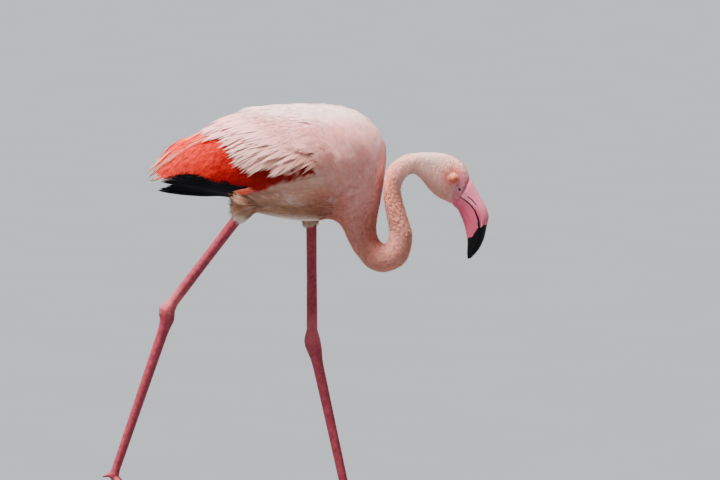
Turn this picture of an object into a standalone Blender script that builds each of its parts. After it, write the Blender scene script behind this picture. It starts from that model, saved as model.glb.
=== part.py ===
"""Greater flamingo, life size, wading with its neck in an S and its bill turned down.

A still model of separate solids that meet with a hair's gap: head, bill, eyes, five
lengths of neck, trunk, tail, folded wings, flight feathers, and four pieces to a leg.
The bird faces +X, its left is +Y, and it stands on the plane z = 0.
"""
import math

import bmesh
import bpy
import numpy as np
from mathutils import Vector

MM = 0.001
GAP = 0.3 * MM                     # clear space between two pieces that meet
ACROSS = Vector((0, 1, 0))

# The body is one chain of upright rings from the folded wing tips to the base of the
# bill. Each row: dorsal point x and z, ventral point x and z, half width, and how far
# the ring leans to the left; the neck leans to the right to clear the breast.
BODY_RINGS = {
    "plume tip": (-282, 590, -282, 580, 6, 0),
    "wing tip": (-267, 616, -268, 566, 14, 0),
    "tertials": (-246, 650, -246, 565, 22, 0),
    "tail root": (-211, 671, -211, 563, 36, 0),
    "vent": (-180, 686, -180, 562, 49, 0),
    "rump": (-148, 706, -147, 559, 62, 0),
    "hip": (-106, 723, -106, 544, 76, 0),
    "knee": (-62, 734, -62, 534, 85, 0),
    "mid back": (-16, 741, -12, 529, 88, 0),
    "keel": (31, 743, 26, 531, 86, 0),
    "mantle": (72, 739, 48, 536, 80, 0),
    "shoulder": (104, 725, 60, 533, 71, 0),
    "breast": (128, 701, 65, 528, 61, 0),
    "upper crop": (142, 673, 71, 523, 54, 0),
    "crop": (142, 622, 78, 509, 42, 0),
    "lower crop": (136, 567, 90, 488, 33, 0),
    "neck root": (132, 531, 107, 468, 28, 0),
    "bend in": (135, 512, 121, 455, 26, -1),
    "bend floor": (147, 500, 151, 448, 25, -4),
    "bend out": (155, 506, 185, 464, 25, -9),
    "bend top": (156, 527, 200, 508, 23, -14),
    "rise low": (149, 560, 188, 556, 19.5, -20),
    "rise mid": (142, 600, 175, 602, 17, -24),
    "rise high": (144, 621, 178, 617, 16.5, -25),
    "crook": (148, 637, 184, 624, 16.5, -25),
    "crook top": (161, 652, 188, 629, 16.5, -24),
    "nape low": (178, 664, 194, 631, 17, -23),
    "nape": (199, 668, 202, 629, 18, -21),
    "hind crown": (217, 669.5, 214, 618, 20.5, -20),
    "crown": (235, 670, 226, 604, 23, -18),
    "ear": (252, 669.5, 239, 593, 24, -17),
    "eye": (266, 665, 255, 586, 23.5, -16),
    "brow": (280.5, 657, 267, 581, 21, -16),
    "lore": (290, 644, 274, 578, 18.5, -16),
    "bill base": (296, 631, 275.5, 576.5, 16.5, -16),
}
SECTION_POWER = 2.15               # 2 is an ellipse, more is fuller at the corners

# Where the chain is parted, the ring's name and the node that ends there.
TRUNK_END = "neck root"
NECK_PARTS = [("neck_1", "bend out"), ("neck_2", "rise low"), ("neck_3", "rise high"),
              ("neck_4", "nape low"), ("neck_5", "hind crown")]
HEAD_END = "bill base"
TRUNK_REAR = -205 * MM
FLANK_RING_STEP = 16 * MM          # shared by trunk and wings, so that their facets match
NECK_RING_STEP = 9.5 * MM
HEAD_RING_STEP = 8 * MM
NECK_SIDES = 16
HEAD_SIDES = 20

# The folded wing lies on the flank. Its edges are heights seen from the side: x, z.
WING_TOP_EDGE = [(-268, 720), (-130, 730), (-60, 716), (0, 694), (48, 655)]
COVERT_EDGE = [(-282, 582), (-264, 586), (-245, 594), (-205, 603), (-152, 590), (-114, 571),
               (-69, 600), (-12, 624), (48, 640)]
PRIMARY_TOP_EDGE = [(-268, 573), (-250, 590), (-235, 700)]
PRIMARY_EDGE = [(-268, 567), (-205, 568), (-117, 569), (-69, 588), (-12, 612), (48, 630)]
WING_THICKNESS = [(-282, 2), (-268, 3), (-200, 4.5), (-110, 6.5), (-50, 7), (48, 2.6)]
RUMP_HOLLOW = [(-205, 20), (-170, 13), (-140, 7), (-112, 0), (60, 0)]
WING_FRONT = 48 * MM
WING_FRONT_FADE = 30 * MM          # the trunk's bed for the wing ends within this length
PRIMARY_REAR = -270 * MM
PRIMARY_FRONT = -118 * MM
PRIMARY_SINK = 1.6 * MM            # the primaries lie this far under the coverts' face
WING_CLEARANCE = 0.6 * MM          # between the wing's inner face and the trunk
MIDLINE_ANGLE = math.radians(1.6)
EDGE_FADE = math.radians(16)
LEAST_COVERT_ANGLE = math.radians(8)
LEAST_PRIMARY_ANGLE = math.radians(6)
LOWEST_WING_ANGLE = math.radians(165)
PRIMARY_GAP_ANGLE = math.radians(0.5)
BAND_COUNTS = (3, 6, 2, 4)         # back, coverts, primaries, belly

# Tail: distance behind the trunk, z, half width, half thickness.
TAIL_RINGS = [(0.3, 612, 9, 15), (16, 606, 17, 9), (34, 599, 15, 4), (50, 593, 8, 1.8)]
TAIL_RING_STEP = 9

# Bill: culmen x and z, keel x and z, half width, share of the depth above the gape.
BILL_RINGS = [
    (296, 631, 275.5, 576.5, 16.5, 0.62),
    (313, 604.5, 285, 559, 14, 0.43),
    (330.5, 576, 293, 540, 13.5, 0.30),
    (335, 563.5, 295.5, 531, 13, 0.32),
    (333, 549, 298.5, 519, 12, 0.34),
    (326.5, 515, 299.5, 499, 7.5, 0.35),
    (318.5, 499, 300, 491, 5, 0.38),
    (307, 485.5, 301.5, 484, 2, 0.45),
]
BILL_RING_STEP = 7 * MM
BILL_ARC_POINTS = 9
UPPER_BILL_POWER = 2.0
LOWER_BILL_POWER = 2.7

HEAD_LEAN = -16 * MM               # the head stands this far to the bird's left
EYE_PLACE = (268.5, 20.5, 628)     # left eye's middle, on a head that doesn't lean
EYE_RADIUS = 6.2 * MM
EYE_SEGMENTS = 16
EYE_RINGS = 10

# Legs: the edge of the thigh's feathers, the shank's lower end, the tarsus's upper end
# just in front of it, and the joint above the toes.
LEG_PLACES = {
    "right": {"thigh": (-113, -36, 534), "knuckle": (-237, -32, 351), "hock": (-231, -32, 345),
              "heel": (-315, -29, 44)},
    "left": {"thigh": (10, 36, 526), "knuckle": (25, 33, 308), "hock": (29, 33, 300),
             "heel": (112, 29, 10)},
}
THIGH_DEPTH = 34 * MM              # how far the thigh's root reaches into the belly
THIGH_RADII = (25 * MM, 14.5 * MM)
THIGH_RINGS = 6
THIGH_CUFF = 6 * MM                # how far the thigh's feathers reach down the shank
SHANK_RADII = (9.8 * MM, 9.4 * MM, 10.2 * MM)
HOCK_RADIUS = 15 * MM
HOCK_LENGTH = 24 * MM
# The hock's swelling: distance from the joint, and share of its radius there.
HOCK_ABOVE = [(13 * MM, 0.88), (5 * MM, 1.0)]
HOCK_BELOW = [(8 * MM, 0.9), (18 * MM, 0.76)]
TARSUS_TOP = 34 * MM               # where the hock has narrowed to the tarsus
TARSUS_RADII = (10 * MM, 8.8 * MM, 8 * MM)
ANKLE_STUB = 16 * MM               # length of the leg's lower end that belongs to the foot
# The heel: distance up from its joint along the leg, and radius.
HEEL_RINGS = [(7 * MM, 9.5 * MM), (0.0, 9.5 * MM), (-2 * MM, 7 * MM)]
LEG_SIDES_RESOLUTION = 3

TOE_ANGLES = {"inner": -29, "middle": 4, "outer": 37}     # degrees outwards
TOE_LENGTHS = {"inner": 66 * MM, "middle": 80 * MM, "outer": 68 * MM}
TOE_RADII = (6.4 * MM, 3.6 * MM)
TOE_POINTS = 9
TOE_FLAT_FROM = 44 * MM            # past this the toes lie flat on the ground
SOLE_CUT = 0.7                     # the share of a toe's radius left under its axis
WEB_THICKNESS = 2.4 * MM
WEB_ROOT = 4 * MM
WEB_REACH = 0.93
WEB_SCALLOP = 0.2                  # how deep the web's edge curves in between two toes
WEB_RAYS = 8                       # from one toe to the next
WEB_RAY_POINTS = 7
HIND_TOE_AIM = (-1, 0.25, -0.35)   # back, outwards and down
HIND_TOE_RISE = 8 * MM             # its root stands this far above the heel's joint
HIND_TOE_LENGTH = 23.5 * MM
HIND_TOE_HEIGHT = 3 * MM           # least height of its tip
HIND_TOE_RADII = (4 * MM, 3.4 * MM, 1.8 * MM)
CLAW_LENGTH = 9 * MM
CLAW_RADII = (2.5 * MM, 2.4 * MM, 1.9 * MM, 0.7 * MM)
CLAW_ARCH = 0.7 * MM
CLAW_TIP_HEIGHT = 1.2 * MM
GROUND_BLOCK = 300 * MM

COLOURS = {
    "plumage": (0.90, 0.66, 0.60), "neck": (0.86, 0.48, 0.38), "head": (0.88, 0.62, 0.55),
    "covert": (0.85, 0.10, 0.07), "flight": (0.012, 0.012, 0.014),
    "bill": (0.84, 0.30, 0.36), "eye": (0.75, 0.42, 0.08), "leg": (0.62, 0.14, 0.20),
    "web": (0.50, 0.11, 0.16), "claw": (0.03, 0.025, 0.025),
}


def clear_scene():
    """Remove whatever the file holds, and make the two collections."""
    for thing in list(bpy.data.objects):
        bpy.data.objects.remove(thing, do_unlink=True)
    parts = bpy.data.collections.new("greater_flamingo")
    cutters = bpy.data.collections.new("cutters")
    for collection in (parts, cutters):
        bpy.context.scene.collection.children.link(collection)
    return parts, cutters


def finish(name, roughness):
    """One Principled material in one of the bird's colours."""
    material = bpy.data.materials.get(name)
    if material is None:
        material = bpy.data.materials.new(name)
        material.use_nodes = True
        shader = material.node_tree.nodes["Principled BSDF"]
        shader.inputs["Base Color"].default_value = (*COLOURS[name], 1)
        shader.inputs["Roughness"].default_value = roughness
        shader.inputs["Metallic"].default_value = 0.0
    return material


def smooth(knots, values, place):
    """Read a smooth curve through the knots: cubic, with slopes from the neighbours."""
    knots = np.asarray(knots, float)
    values = np.asarray(values, float)
    slopes = np.gradient(values, knots, axis=0)
    place = min(max(place, knots[0]), knots[-1])
    i = min(max(int(np.searchsorted(knots, place)) - 1, 0), len(knots) - 2)
    span = knots[i + 1] - knots[i]
    t = (place - knots[i]) / span
    start = values[i] * (1 + 2 * t) * (1 - t) ** 2 + slopes[i] * span * t * (1 - t) ** 2
    end = values[i + 1] * t * t * (3 - 2 * t) + slopes[i + 1] * span * t * t * (t - 1)
    return start + end


def along(rows, x):
    """Height or size at a place x along a short list of (x, value) in millimetres."""
    places, values = zip(*rows)
    return float(smooth(places, values, x / MM)) * MM


def ease(t):
    """Rise smoothly from 0 to 1 as t does."""
    t = min(max(t, 0.0), 1.0)
    return t * t * (3 - 2 * t)


def steps(start, end, step):
    """Even places from start to end, about a step apart."""
    count = max(2, round(abs(end - start) / step) + 1)
    return [float(place) for place in np.linspace(start, end, count)]


class Chain:
    """A run of rings, read smoothly at any distance along the line of their centres.

    A row's first five columns are lengths. Its last is how far the ring leans to the
    left, or, where the whole chain leans by one amount, some other value of the ring.
    """

    def __init__(self, rows, whole_lean=None):
        self.rows = np.array(rows, float)
        self.rows[:, :5] *= MM
        self.whole_lean = whole_lean
        middles = (self.rows[:, 0:2] + self.rows[:, 2:4]) / 2
        lengths = np.linalg.norm(np.diff(middles, axis=0), axis=1)
        self.knots = np.concatenate(([0.0], np.cumsum(lengths)))

    def row(self, place):
        """Top and bottom of the ring at a place, its half width and its last value."""
        row = [float(value) for value in smooth(self.knots, self.rows, place)]
        lean = row[5] * MM if self.whole_lean is None else self.whole_lean
        return Vector((row[0], lean, row[1])), Vector((row[2], lean, row[3])), row[4], row[5]

    def facing(self, place):
        """Unit vector across the ring's plane, towards the chain's end."""
        top, bottom, _, _ = self.row(place)
        return ACROSS.cross(top - bottom).normalized()


def section(top, bottom, half_width, angle, power):
    """Point of a ring, angle 0 at its top and a half turn at its bottom."""
    rise = math.copysign(abs(math.cos(angle)) ** (2 / power), math.cos(angle))
    out = math.copysign(abs(math.sin(angle)) ** (2 / power), math.sin(angle))
    return (top + bottom) / 2 + (top - bottom) / 2 * rise + ACROSS * (half_width * out)


def sunk(point, middle, depth):
    """Move a ring's point towards the ring's middle."""
    arm = point - middle
    return middle + arm * (1 - depth / arm.length)


def solid(name, rings, collection, material):
    """Close a loft: quads between rings of equal counts, and a cap on each end."""
    bm = bmesh.new()
    loops = [[bm.verts.new(point) for point in ring] for ring in rings]
    for near, far in zip(loops, loops[1:]):
        for i in range(len(near)):
            j = (i + 1) % len(near)
            bm.faces.new((near[i], near[j], far[j], far[i]))
    bm.faces.new(loops[0])
    bm.faces.new(loops[-1])
    bmesh.ops.triangulate(bm, faces=bm.faces, quad_method="FIXED")
    bmesh.ops.recalc_face_normals(bm, faces=bm.faces)
    mesh = bpy.data.meshes.new(name)
    bm.to_mesh(mesh)
    bm.free()
    mesh.shade_smooth()
    mesh.set_sharp_from_angle(angle=math.radians(50))
    return place_part(name, mesh, collection, material)


def place_part(name, mesh, collection, material):
    """Wrap a mesh in an object with its origin at the middle of its box."""
    points = np.array([vertex.co[:] for vertex in mesh.vertices])
    middle = (points.min(axis=0) + points.max(axis=0)) / 2
    for vertex in mesh.vertices:
        vertex.co -= Vector(middle)
    part = bpy.data.objects.new(name, mesh)
    part.location = middle
    collection.objects.link(part)
    if material is not None:
        mesh.materials.append(material)
    return part


def tube(name, points, radii, collection, material, resolution=LEG_SIDES_RESOLUTION):
    """A bevelled curve of changing thickness, turned into one closed mesh."""
    curve = bpy.data.curves.new(name + "_line", "CURVE")
    curve.dimensions = "3D"
    curve.bevel_depth = 1.0
    curve.bevel_resolution = resolution
    curve.use_fill_caps = True
    spline = curve.splines.new("POLY")
    spline.points.add(len(points) - 1)
    for knot, point, radius in zip(spline.points, points, radii):
        knot.co = (*point, 1)
        knot.radius = radius
    line = bpy.data.objects.new(name + "_line", curve)
    bpy.context.scene.collection.objects.link(line)
    bpy.context.view_layer.update()
    graph = bpy.context.evaluated_depsgraph_get()
    mesh = bpy.data.meshes.new_from_object(line.evaluated_get(graph))
    bpy.data.objects.remove(line, do_unlink=True)
    mesh.name = name
    mesh.materials.clear()
    bm = bmesh.new()
    bm.from_mesh(mesh)
    bmesh.ops.remove_doubles(bm, verts=bm.verts, dist=0.00001)
    bmesh.ops.recalc_face_normals(bm, faces=bm.faces)
    bm.to_mesh(mesh)
    bm.free()
    mesh.shade_smooth()
    mesh.set_sharp_from_angle(angle=math.radians(50))
    return place_part(name, mesh, collection, material)


def hide_cutter(cutter):
    """A cutter shows as wire and is no part of the bird."""
    cutter.hide_render = True
    cutter.display_type = "WIRE"


def combine(part, other, operation):
    """Add or take away one solid with an exact Boolean."""
    hide_cutter(other)
    boolean = part.modifiers.new(other.name, "BOOLEAN")
    boolean.operation = operation
    boolean.solver = "EXACT"
    boolean.object = other


BODY = Chain(list(BODY_RINGS.values()))


def ring_place(name):
    """Distance along the body's chain of one of its named rings."""
    return float(BODY.knots[list(BODY_RINGS).index(name)])


def ring_x(place):
    """Where along the bird the middle of a ring stands."""
    top, bottom, _, _ = BODY.row(place)
    return (top.x + bottom.x) / 2


def flank_places(rear, front):
    """Places of the shared rings that stand between two distances along the bird."""
    places = steps(0, ring_place(TRUNK_END), FLANK_RING_STEP)
    return [place for place in places if rear <= ring_x(place) <= front]


def angle_at_height(place, height):
    """Angle at which the ring's outline passes a height, 0 where it is all lower."""
    top, bottom, _, _ = BODY.row(place)
    share = (height - (top.z + bottom.z) / 2) / ((top.z - bottom.z) / 2)
    share = min(max(share, -1.0), 1.0)
    return math.acos(math.copysign(abs(share) ** (SECTION_POWER / 2), share))


def wing_bounds(place):
    """Angles of the wing's top edge, of the coverts' edge and of the primaries' edge.

    In front of the wing the angles of its last ring go on, so that the trunk's facets
    keep their lines.
    """
    place = min(place, flank_places(-math.inf, WING_FRONT)[-1])
    x = ring_x(place)
    upper = max(MIDLINE_ANGLE, angle_at_height(place, along(WING_TOP_EDGE, x)))
    covert = angle_at_height(place, along(COVERT_EDGE, x))
    covert = max(covert, upper + LEAST_COVERT_ANGLE)
    lower = max(angle_at_height(place, along(PRIMARY_EDGE, x)), covert + LEAST_PRIMARY_ANGLE)
    return upper, covert, min(lower, LOWEST_WING_ANGLE)


def bands(place):
    """Angles round one side of the trunk, closer set under the wing's bands."""
    upper, covert, lower = wing_bounds(place)
    edges = (0.0, upper, covert, lower, math.pi)
    angles = []
    for start, end, count in zip(edges, edges[1:], BAND_COUNTS):
        angles += [float(angle) for angle in np.linspace(start, end, count + 1)[:-1]]
    return angles + [math.pi]


def trunk_depth(place, angle):
    """How far the trunk lies inside the outline to leave room for the wing."""
    x = ring_x(place)
    upper, _, lower = wing_bounds(place)
    outside = max(upper - angle, angle - lower, 0.0)
    ahead = (WING_FRONT + WING_FRONT_FADE - x) / WING_FRONT_FADE
    cover = ease(1 - outside / EDGE_FADE) * ease(ahead)
    hollow = max(along(RUMP_HOLLOW, x), 0.0)
    return cover * (along(WING_THICKNESS, x) + WING_CLEARANCE) + hollow


def trunk_ring(place, grow=0.0):
    """The trunk's ring, hollowed under the wings."""
    top, bottom, half_width, _ = BODY.row(place)
    middle = (top + bottom) / 2
    half = []
    for angle in bands(place):
        point = section(top, bottom, half_width, angle, SECTION_POWER)
        half.append(sunk(point, middle, trunk_depth(place, angle) - grow))
    mirrored = [Vector((point.x, -point.y, point.z)) for point in reversed(half[1:-1])]
    return half + mirrored


def plain_ring(place, sides, shift=0.0):
    """A full ring of the chain, moved along its facing by a small shift."""
    top, bottom, half_width, _ = BODY.row(place)
    move = BODY.facing(place) * shift
    turn = 2 * math.pi / sides
    return [section(top, bottom, half_width, i * turn, SECTION_POWER) + move
            for i in range(sides)]


def build_trunk(parts, cutters):
    """The trunk, and a slightly fuller copy of it that the thighs are cut with."""
    places = flank_places(TRUNK_REAR, math.inf)
    plumage = finish("plumage", 0.8)
    rings = [trunk_ring(place) for place in places]
    back = BODY.facing(places[-1]) * (-GAP / 2)
    rings[-1] = [point + back for point in rings[-1]]
    solid("trunk", rings, parts, plumage)
    fuller = solid("trunk_cutter", [trunk_ring(place, GAP) for place in places], cutters, None)
    hide_cutter(fuller)
    return fuller


def build_neck(parts):
    """Five lengths of neck, parted on flat rings."""
    start = ring_place(TRUNK_END)
    for name, end_name in NECK_PARTS:
        end = ring_place(end_name)
        places = steps(start, end, NECK_RING_STEP)
        rings = [plain_ring(place, NECK_SIDES) for place in places]
        rings[0] = plain_ring(places[0], NECK_SIDES, GAP / 2)
        rings[-1] = plain_ring(places[-1], NECK_SIDES, -GAP / 2)
        solid(name, rings, parts, finish("neck", 0.75))
        start = end


def build_head(parts, cutters):
    """The head with a socket for each eye, and the two eyes."""
    places = steps(ring_place(NECK_PARTS[-1][1]), ring_place(HEAD_END), HEAD_RING_STEP)
    rings = [plain_ring(place, HEAD_SIDES) for place in places]
    rings[0] = plain_ring(places[0], HEAD_SIDES, GAP / 2)
    rings[-1] = plain_ring(places[-1], HEAD_SIDES, -GAP / 2)
    head = solid("head", rings, parts, finish("head", 0.7))
    for side, sign in (("left", 1), ("right", -1)):
        x, y, z = EYE_PLACE
        middle = Vector((x, sign * y, z)) * MM + ACROSS * HEAD_LEAN
        ball = eyeball("eye_" + side, EYE_RADIUS, middle, parts)
        ball.data.materials.append(finish("eye", 0.1))
        combine(head, eyeball("socket_" + side, EYE_RADIUS + GAP, middle, cutters), "DIFFERENCE")


def eyeball(name, radius, middle, collection):
    """A ball with its poles on the bird's left and right."""
    mesh = bpy.data.meshes.new(name)
    bm = bmesh.new()
    bmesh.ops.create_uvsphere(bm, u_segments=EYE_SEGMENTS, v_segments=EYE_RINGS, radius=radius)
    bm.to_mesh(mesh)
    bm.free()
    mesh.shade_smooth()
    ball = bpy.data.objects.new(name, mesh)
    ball.location = middle
    ball.rotation_euler = (math.pi / 2, 0, 0)
    collection.objects.link(ball)
    return ball


def build_bill(parts):
    """Upper and lower bill, each a loft from the face to the hooked tip."""
    chain = Chain(BILL_RINGS, HEAD_LEAN)
    places = steps(0, float(chain.knots[-1]), BILL_RING_STEP)
    upper, lower = [], []
    for place in places:
        culmen, keel, half_width, share = chain.row(place)
        across_gape = (culmen - keel).normalized()
        gape = culmen.lerp(keel, share)
        clear = chain.facing(place) * (GAP / 2 if place == places[0] else 0)
        upper.append(half_section(gape + across_gape * GAP / 2, culmen, half_width,
                                  UPPER_BILL_POWER, clear))
        lower.append(half_section(gape - across_gape * GAP / 2, keel, half_width,
                                  LOWER_BILL_POWER, clear))
    solid("bill_upper", upper, parts, finish("bill", 0.35))
    solid("bill_lower", lower, parts, finish("bill", 0.35))


def half_section(base, crest, half_width, power, shift):
    """A dome from the gape's plane to the culmen or the keel."""
    points = []
    for angle in np.linspace(-math.pi / 2, math.pi / 2, BILL_ARC_POINTS):
        rise = max(math.cos(angle), 0.0) ** (2 / power)
        out = math.copysign(abs(math.sin(angle)) ** (2 / power), math.sin(angle))
        points.append(base + (crest - base) * rise + ACROSS * (half_width * out) + shift)
    return points


def wing_ring(place, start, end, count, sink, sign):
    """A thin closed section of the wing between two angles of the body's outline."""
    top, bottom, half_width, _ = BODY.row(place)
    middle = (top + bottom) / 2
    x = middle.x
    outer, inner = [], []
    for angle in np.linspace(start, end, count + 1):
        point = section(top, bottom, half_width, float(angle), SECTION_POWER)
        outer.append(sunk(point, middle, sink))
        inner.append(sunk(point, middle, along(WING_THICKNESS, x)))
    # The inner face splits its quads the way the trunk's own side does.
    ring = inner + outer[::-1] if sign > 0 else outer + inner[::-1]
    return [Vector((point.x, sign * point.y, point.z)) for point in ring]


def build_wings(parts):
    """Coverts and primaries of each folded wing, as shells over the flank."""
    for side, sign in (("left", 1), ("right", -1)):
        rings = []
        for place in flank_places(-math.inf, WING_FRONT):
            upper, covert, _ = wing_bounds(place)
            rings.append(wing_ring(place, upper, covert, BAND_COUNTS[1], 0.0, sign))
        solid("wing_" + side, rings, parts, finish("covert", 0.7))
        rings = []
        for place in flank_places(PRIMARY_REAR, PRIMARY_FRONT):
            _, covert, lower = wing_bounds(place)
            tip = angle_at_height(place, along(PRIMARY_TOP_EDGE, ring_x(place)))
            start = max(covert + PRIMARY_GAP_ANGLE, tip)
            rings.append(wing_ring(place, start, lower, BAND_COUNTS[2], PRIMARY_SINK, sign))
        solid("primaries_" + side, rings, parts, finish("flight", 0.4))


def build_tail(parts):
    """The short closed tail between the wing tips."""
    rows = np.array(TAIL_RINGS, float)
    rings = []
    trunk_end = ring_x(flank_places(TRUNK_REAR, math.inf)[0])
    for back in steps(rows[0, 0], rows[-1, 0], TAIL_RING_STEP):
        z, half_width, half_thickness = smooth(rows[:, 0], rows[:, 1:], back) * MM
        x = trunk_end - back * MM
        top = Vector((x, 0, z + half_thickness))
        bottom = Vector((x, 0, z - half_thickness))
        turn = 2 * math.pi / NECK_SIDES
        rings.append([section(top, bottom, half_width, i * turn, 2) for i in range(NECK_SIDES)])
    solid("tail", rings, parts, finish("plumage", 0.8))


def spaced(start, end, count):
    """Even points on the straight line between two places."""
    return [start.lerp(end, i / (count - 1)) for i in range(count)]


def build_leg(side, trunk_cutter, parts, cutters):
    """Thigh, shank, tarsus with the hock on top, foot and claws of one leg."""
    places = LEG_PLACES[side]
    thigh, knuckle, hock, heel = (Vector(place) * MM for place in places.values())
    down = (knuckle - thigh).normalized()
    shin = (heel - hock).normalized()
    skin = finish("leg", 0.45)

    root = thigh - down * THIGH_DEPTH
    cuff = thigh + down * THIGH_CUFF
    wide, narrow = THIGH_RADII
    radii = [wide + (narrow - wide) * ease(i / (THIGH_RINGS - 1)) for i in range(THIGH_RINGS)]
    upper = tube("thigh_" + side, spaced(root, cuff, THIGH_RINGS), radii, parts,
                 finish("plumage", 0.8))
    combine(upper, trunk_cutter, "DIFFERENCE")

    shank_end = knuckle - down * HOCK_LENGTH
    shank_line = spaced(cuff + down * GAP, shank_end, len(SHANK_RADII))
    tube("shank_" + side, shank_line, SHANK_RADII, parts, skin)

    line = [shank_end + down * GAP]
    line += [knuckle - down * distance for distance, _ in HOCK_ABOVE]
    line += [knuckle.lerp(hock, 0.5)]
    line += [hock + shin * distance for distance, _ in HOCK_BELOW]
    line += [hock + shin * TARSUS_TOP, hock.lerp(heel, 0.55), heel - shin * ANKLE_STUB]
    radii = [SHANK_RADII[-1]]
    radii += [HOCK_RADIUS * share for _, share in HOCK_ABOVE]
    radii += [HOCK_RADIUS]
    radii += [HOCK_RADIUS * share for _, share in HOCK_BELOW]
    radii += TARSUS_RADII
    tube("tarsus_" + side, line, radii, parts, skin)
    build_foot(side, heel, shin, parts, cutters)


def sole_height(heel, distance, radius):
    """Height of a toe's axis at a distance in front of the heel joint."""
    flat = radius * SOLE_CUT
    return flat + (heel.z - flat) * ease(1 - distance / TOE_FLAT_FROM)


def toe_line(heel, angle, length):
    """Points of a toe's axis, and its radius at each."""
    points, radii = [], []
    for i in range(TOE_POINTS):
        share = i / (TOE_POINTS - 1)
        reach = length * share
        radius = TOE_RADII[0] + (TOE_RADII[1] - TOE_RADII[0]) * share
        forward = reach * math.cos(angle)
        height = sole_height(heel, forward, radius)
        points.append(Vector((heel.x + forward, heel.y + reach * math.sin(angle), height)))
        radii.append(radius)
    return points, radii


def web_solid(name, heel, outward, collection):
    """The web: one thin section at each angle from the inner toe to the outer one."""
    names = list(TOE_ANGLES)
    rings = []
    for i in range(2 * WEB_RAYS + 1):
        share = i / WEB_RAYS
        first = min(int(share), 1)
        t = share - first
        start, end = names[first], names[first + 1]
        angle = TOE_ANGLES[start] + (TOE_ANGLES[end] - TOE_ANGLES[start]) * t
        angle = math.radians(angle) * outward
        length = TOE_LENGTHS[start] + (TOE_LENGTHS[end] - TOE_LENGTHS[start]) * t
        length *= WEB_REACH - WEB_SCALLOP * math.sin(math.pi * t) ** 0.7
        top, bottom = [], []
        for reach in np.linspace(WEB_ROOT, length, WEB_RAY_POINTS):
            forward = float(reach) * math.cos(angle)
            radius = TOE_RADII[1]
            height = sole_height(heel, forward, radius)
            side = heel.y + float(reach) * math.sin(angle)
            top.append(Vector((heel.x + forward, side, height + WEB_THICKNESS / 2)))
            bottom.append(Vector((heel.x + forward, side, height - WEB_THICKNESS / 2)))
        rings.append(top + bottom[::-1])
    return solid(name, rings, collection, None)


def build_foot(side, heel, shin, parts, cutters):
    """Three webbed toes, a small hind toe and their claws, flat under the soles."""
    skin = finish("web", 0.5)
    outward = 1 if side == "left" else -1
    top = heel - shin * (ANKLE_STUB - GAP)
    line = [top] + [heel - shin * distance for distance, _ in HEEL_RINGS]
    radii = [TARSUS_RADII[-1]] + [radius for _, radius in HEEL_RINGS]
    foot = tube("foot_" + side, line, radii, parts, skin)
    combine(foot, web_solid("web_" + side, heel, outward, cutters), "UNION")
    for toe, degrees in TOE_ANGLES.items():
        angle = math.radians(degrees) * outward
        points, radii = toe_line(heel, angle, TOE_LENGTHS[toe])
        combine(foot, tube("toe_{}_{}".format(side, toe), points, radii, cutters, None), "UNION")
        reach = (points[-1] - points[-2]).normalized()
        base = points[-1] + reach * GAP
        tip = base + reach * CLAW_LENGTH
        tip.z = CLAW_TIP_HEIGHT
        middle = base.lerp(tip, 0.5) + Vector((0, 0, CLAW_ARCH))
        line = [base, base.lerp(tip, 0.1), middle, tip]
        tube("claw_{}_{}".format(side, toe), line, CLAW_RADII, parts, finish("claw", 0.4), 2)
    back, out, down = HIND_TOE_AIM
    aim = Vector((back, out * outward, down)).normalized()
    root = heel - shin * HIND_TOE_RISE
    tip = root + aim * HIND_TOE_LENGTH
    tip.z = max(tip.z, HIND_TOE_HEIGHT)
    line = [root, root.lerp(tip, 0.6), tip]
    combine(foot, tube("hind_toe_" + side, line, HIND_TOE_RADII, cutters, None), "UNION")
    combine(foot, floor_block("ground_" + side, heel, cutters), "DIFFERENCE")


def floor_block(name, heel, collection):
    """A block under the ground plane that flattens the soles."""
    mesh = bpy.data.meshes.new(name)
    bm = bmesh.new()
    bmesh.ops.create_cube(bm, size=GROUND_BLOCK)
    bm.to_mesh(mesh)
    bm.free()
    block = bpy.data.objects.new(name, mesh)
    block.location = (heel.x, heel.y, -GROUND_BLOCK / 2)
    collection.objects.link(block)
    return block


def main():
    parts, cutters = clear_scene()
    trunk_cutter = build_trunk(parts, cutters)
    build_neck(parts)
    build_head(parts, cutters)
    build_bill(parts)
    build_wings(parts)
    build_tail(parts)
    for side in LEG_PLACES:
        build_leg(side, trunk_cutter, parts, cutters)


main()
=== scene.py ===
import heapq
import math

import bmesh
import bpy
import numpy as np
from mathutils import Matrix, Vector
from mathutils.bvhtree import BVHTree


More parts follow.
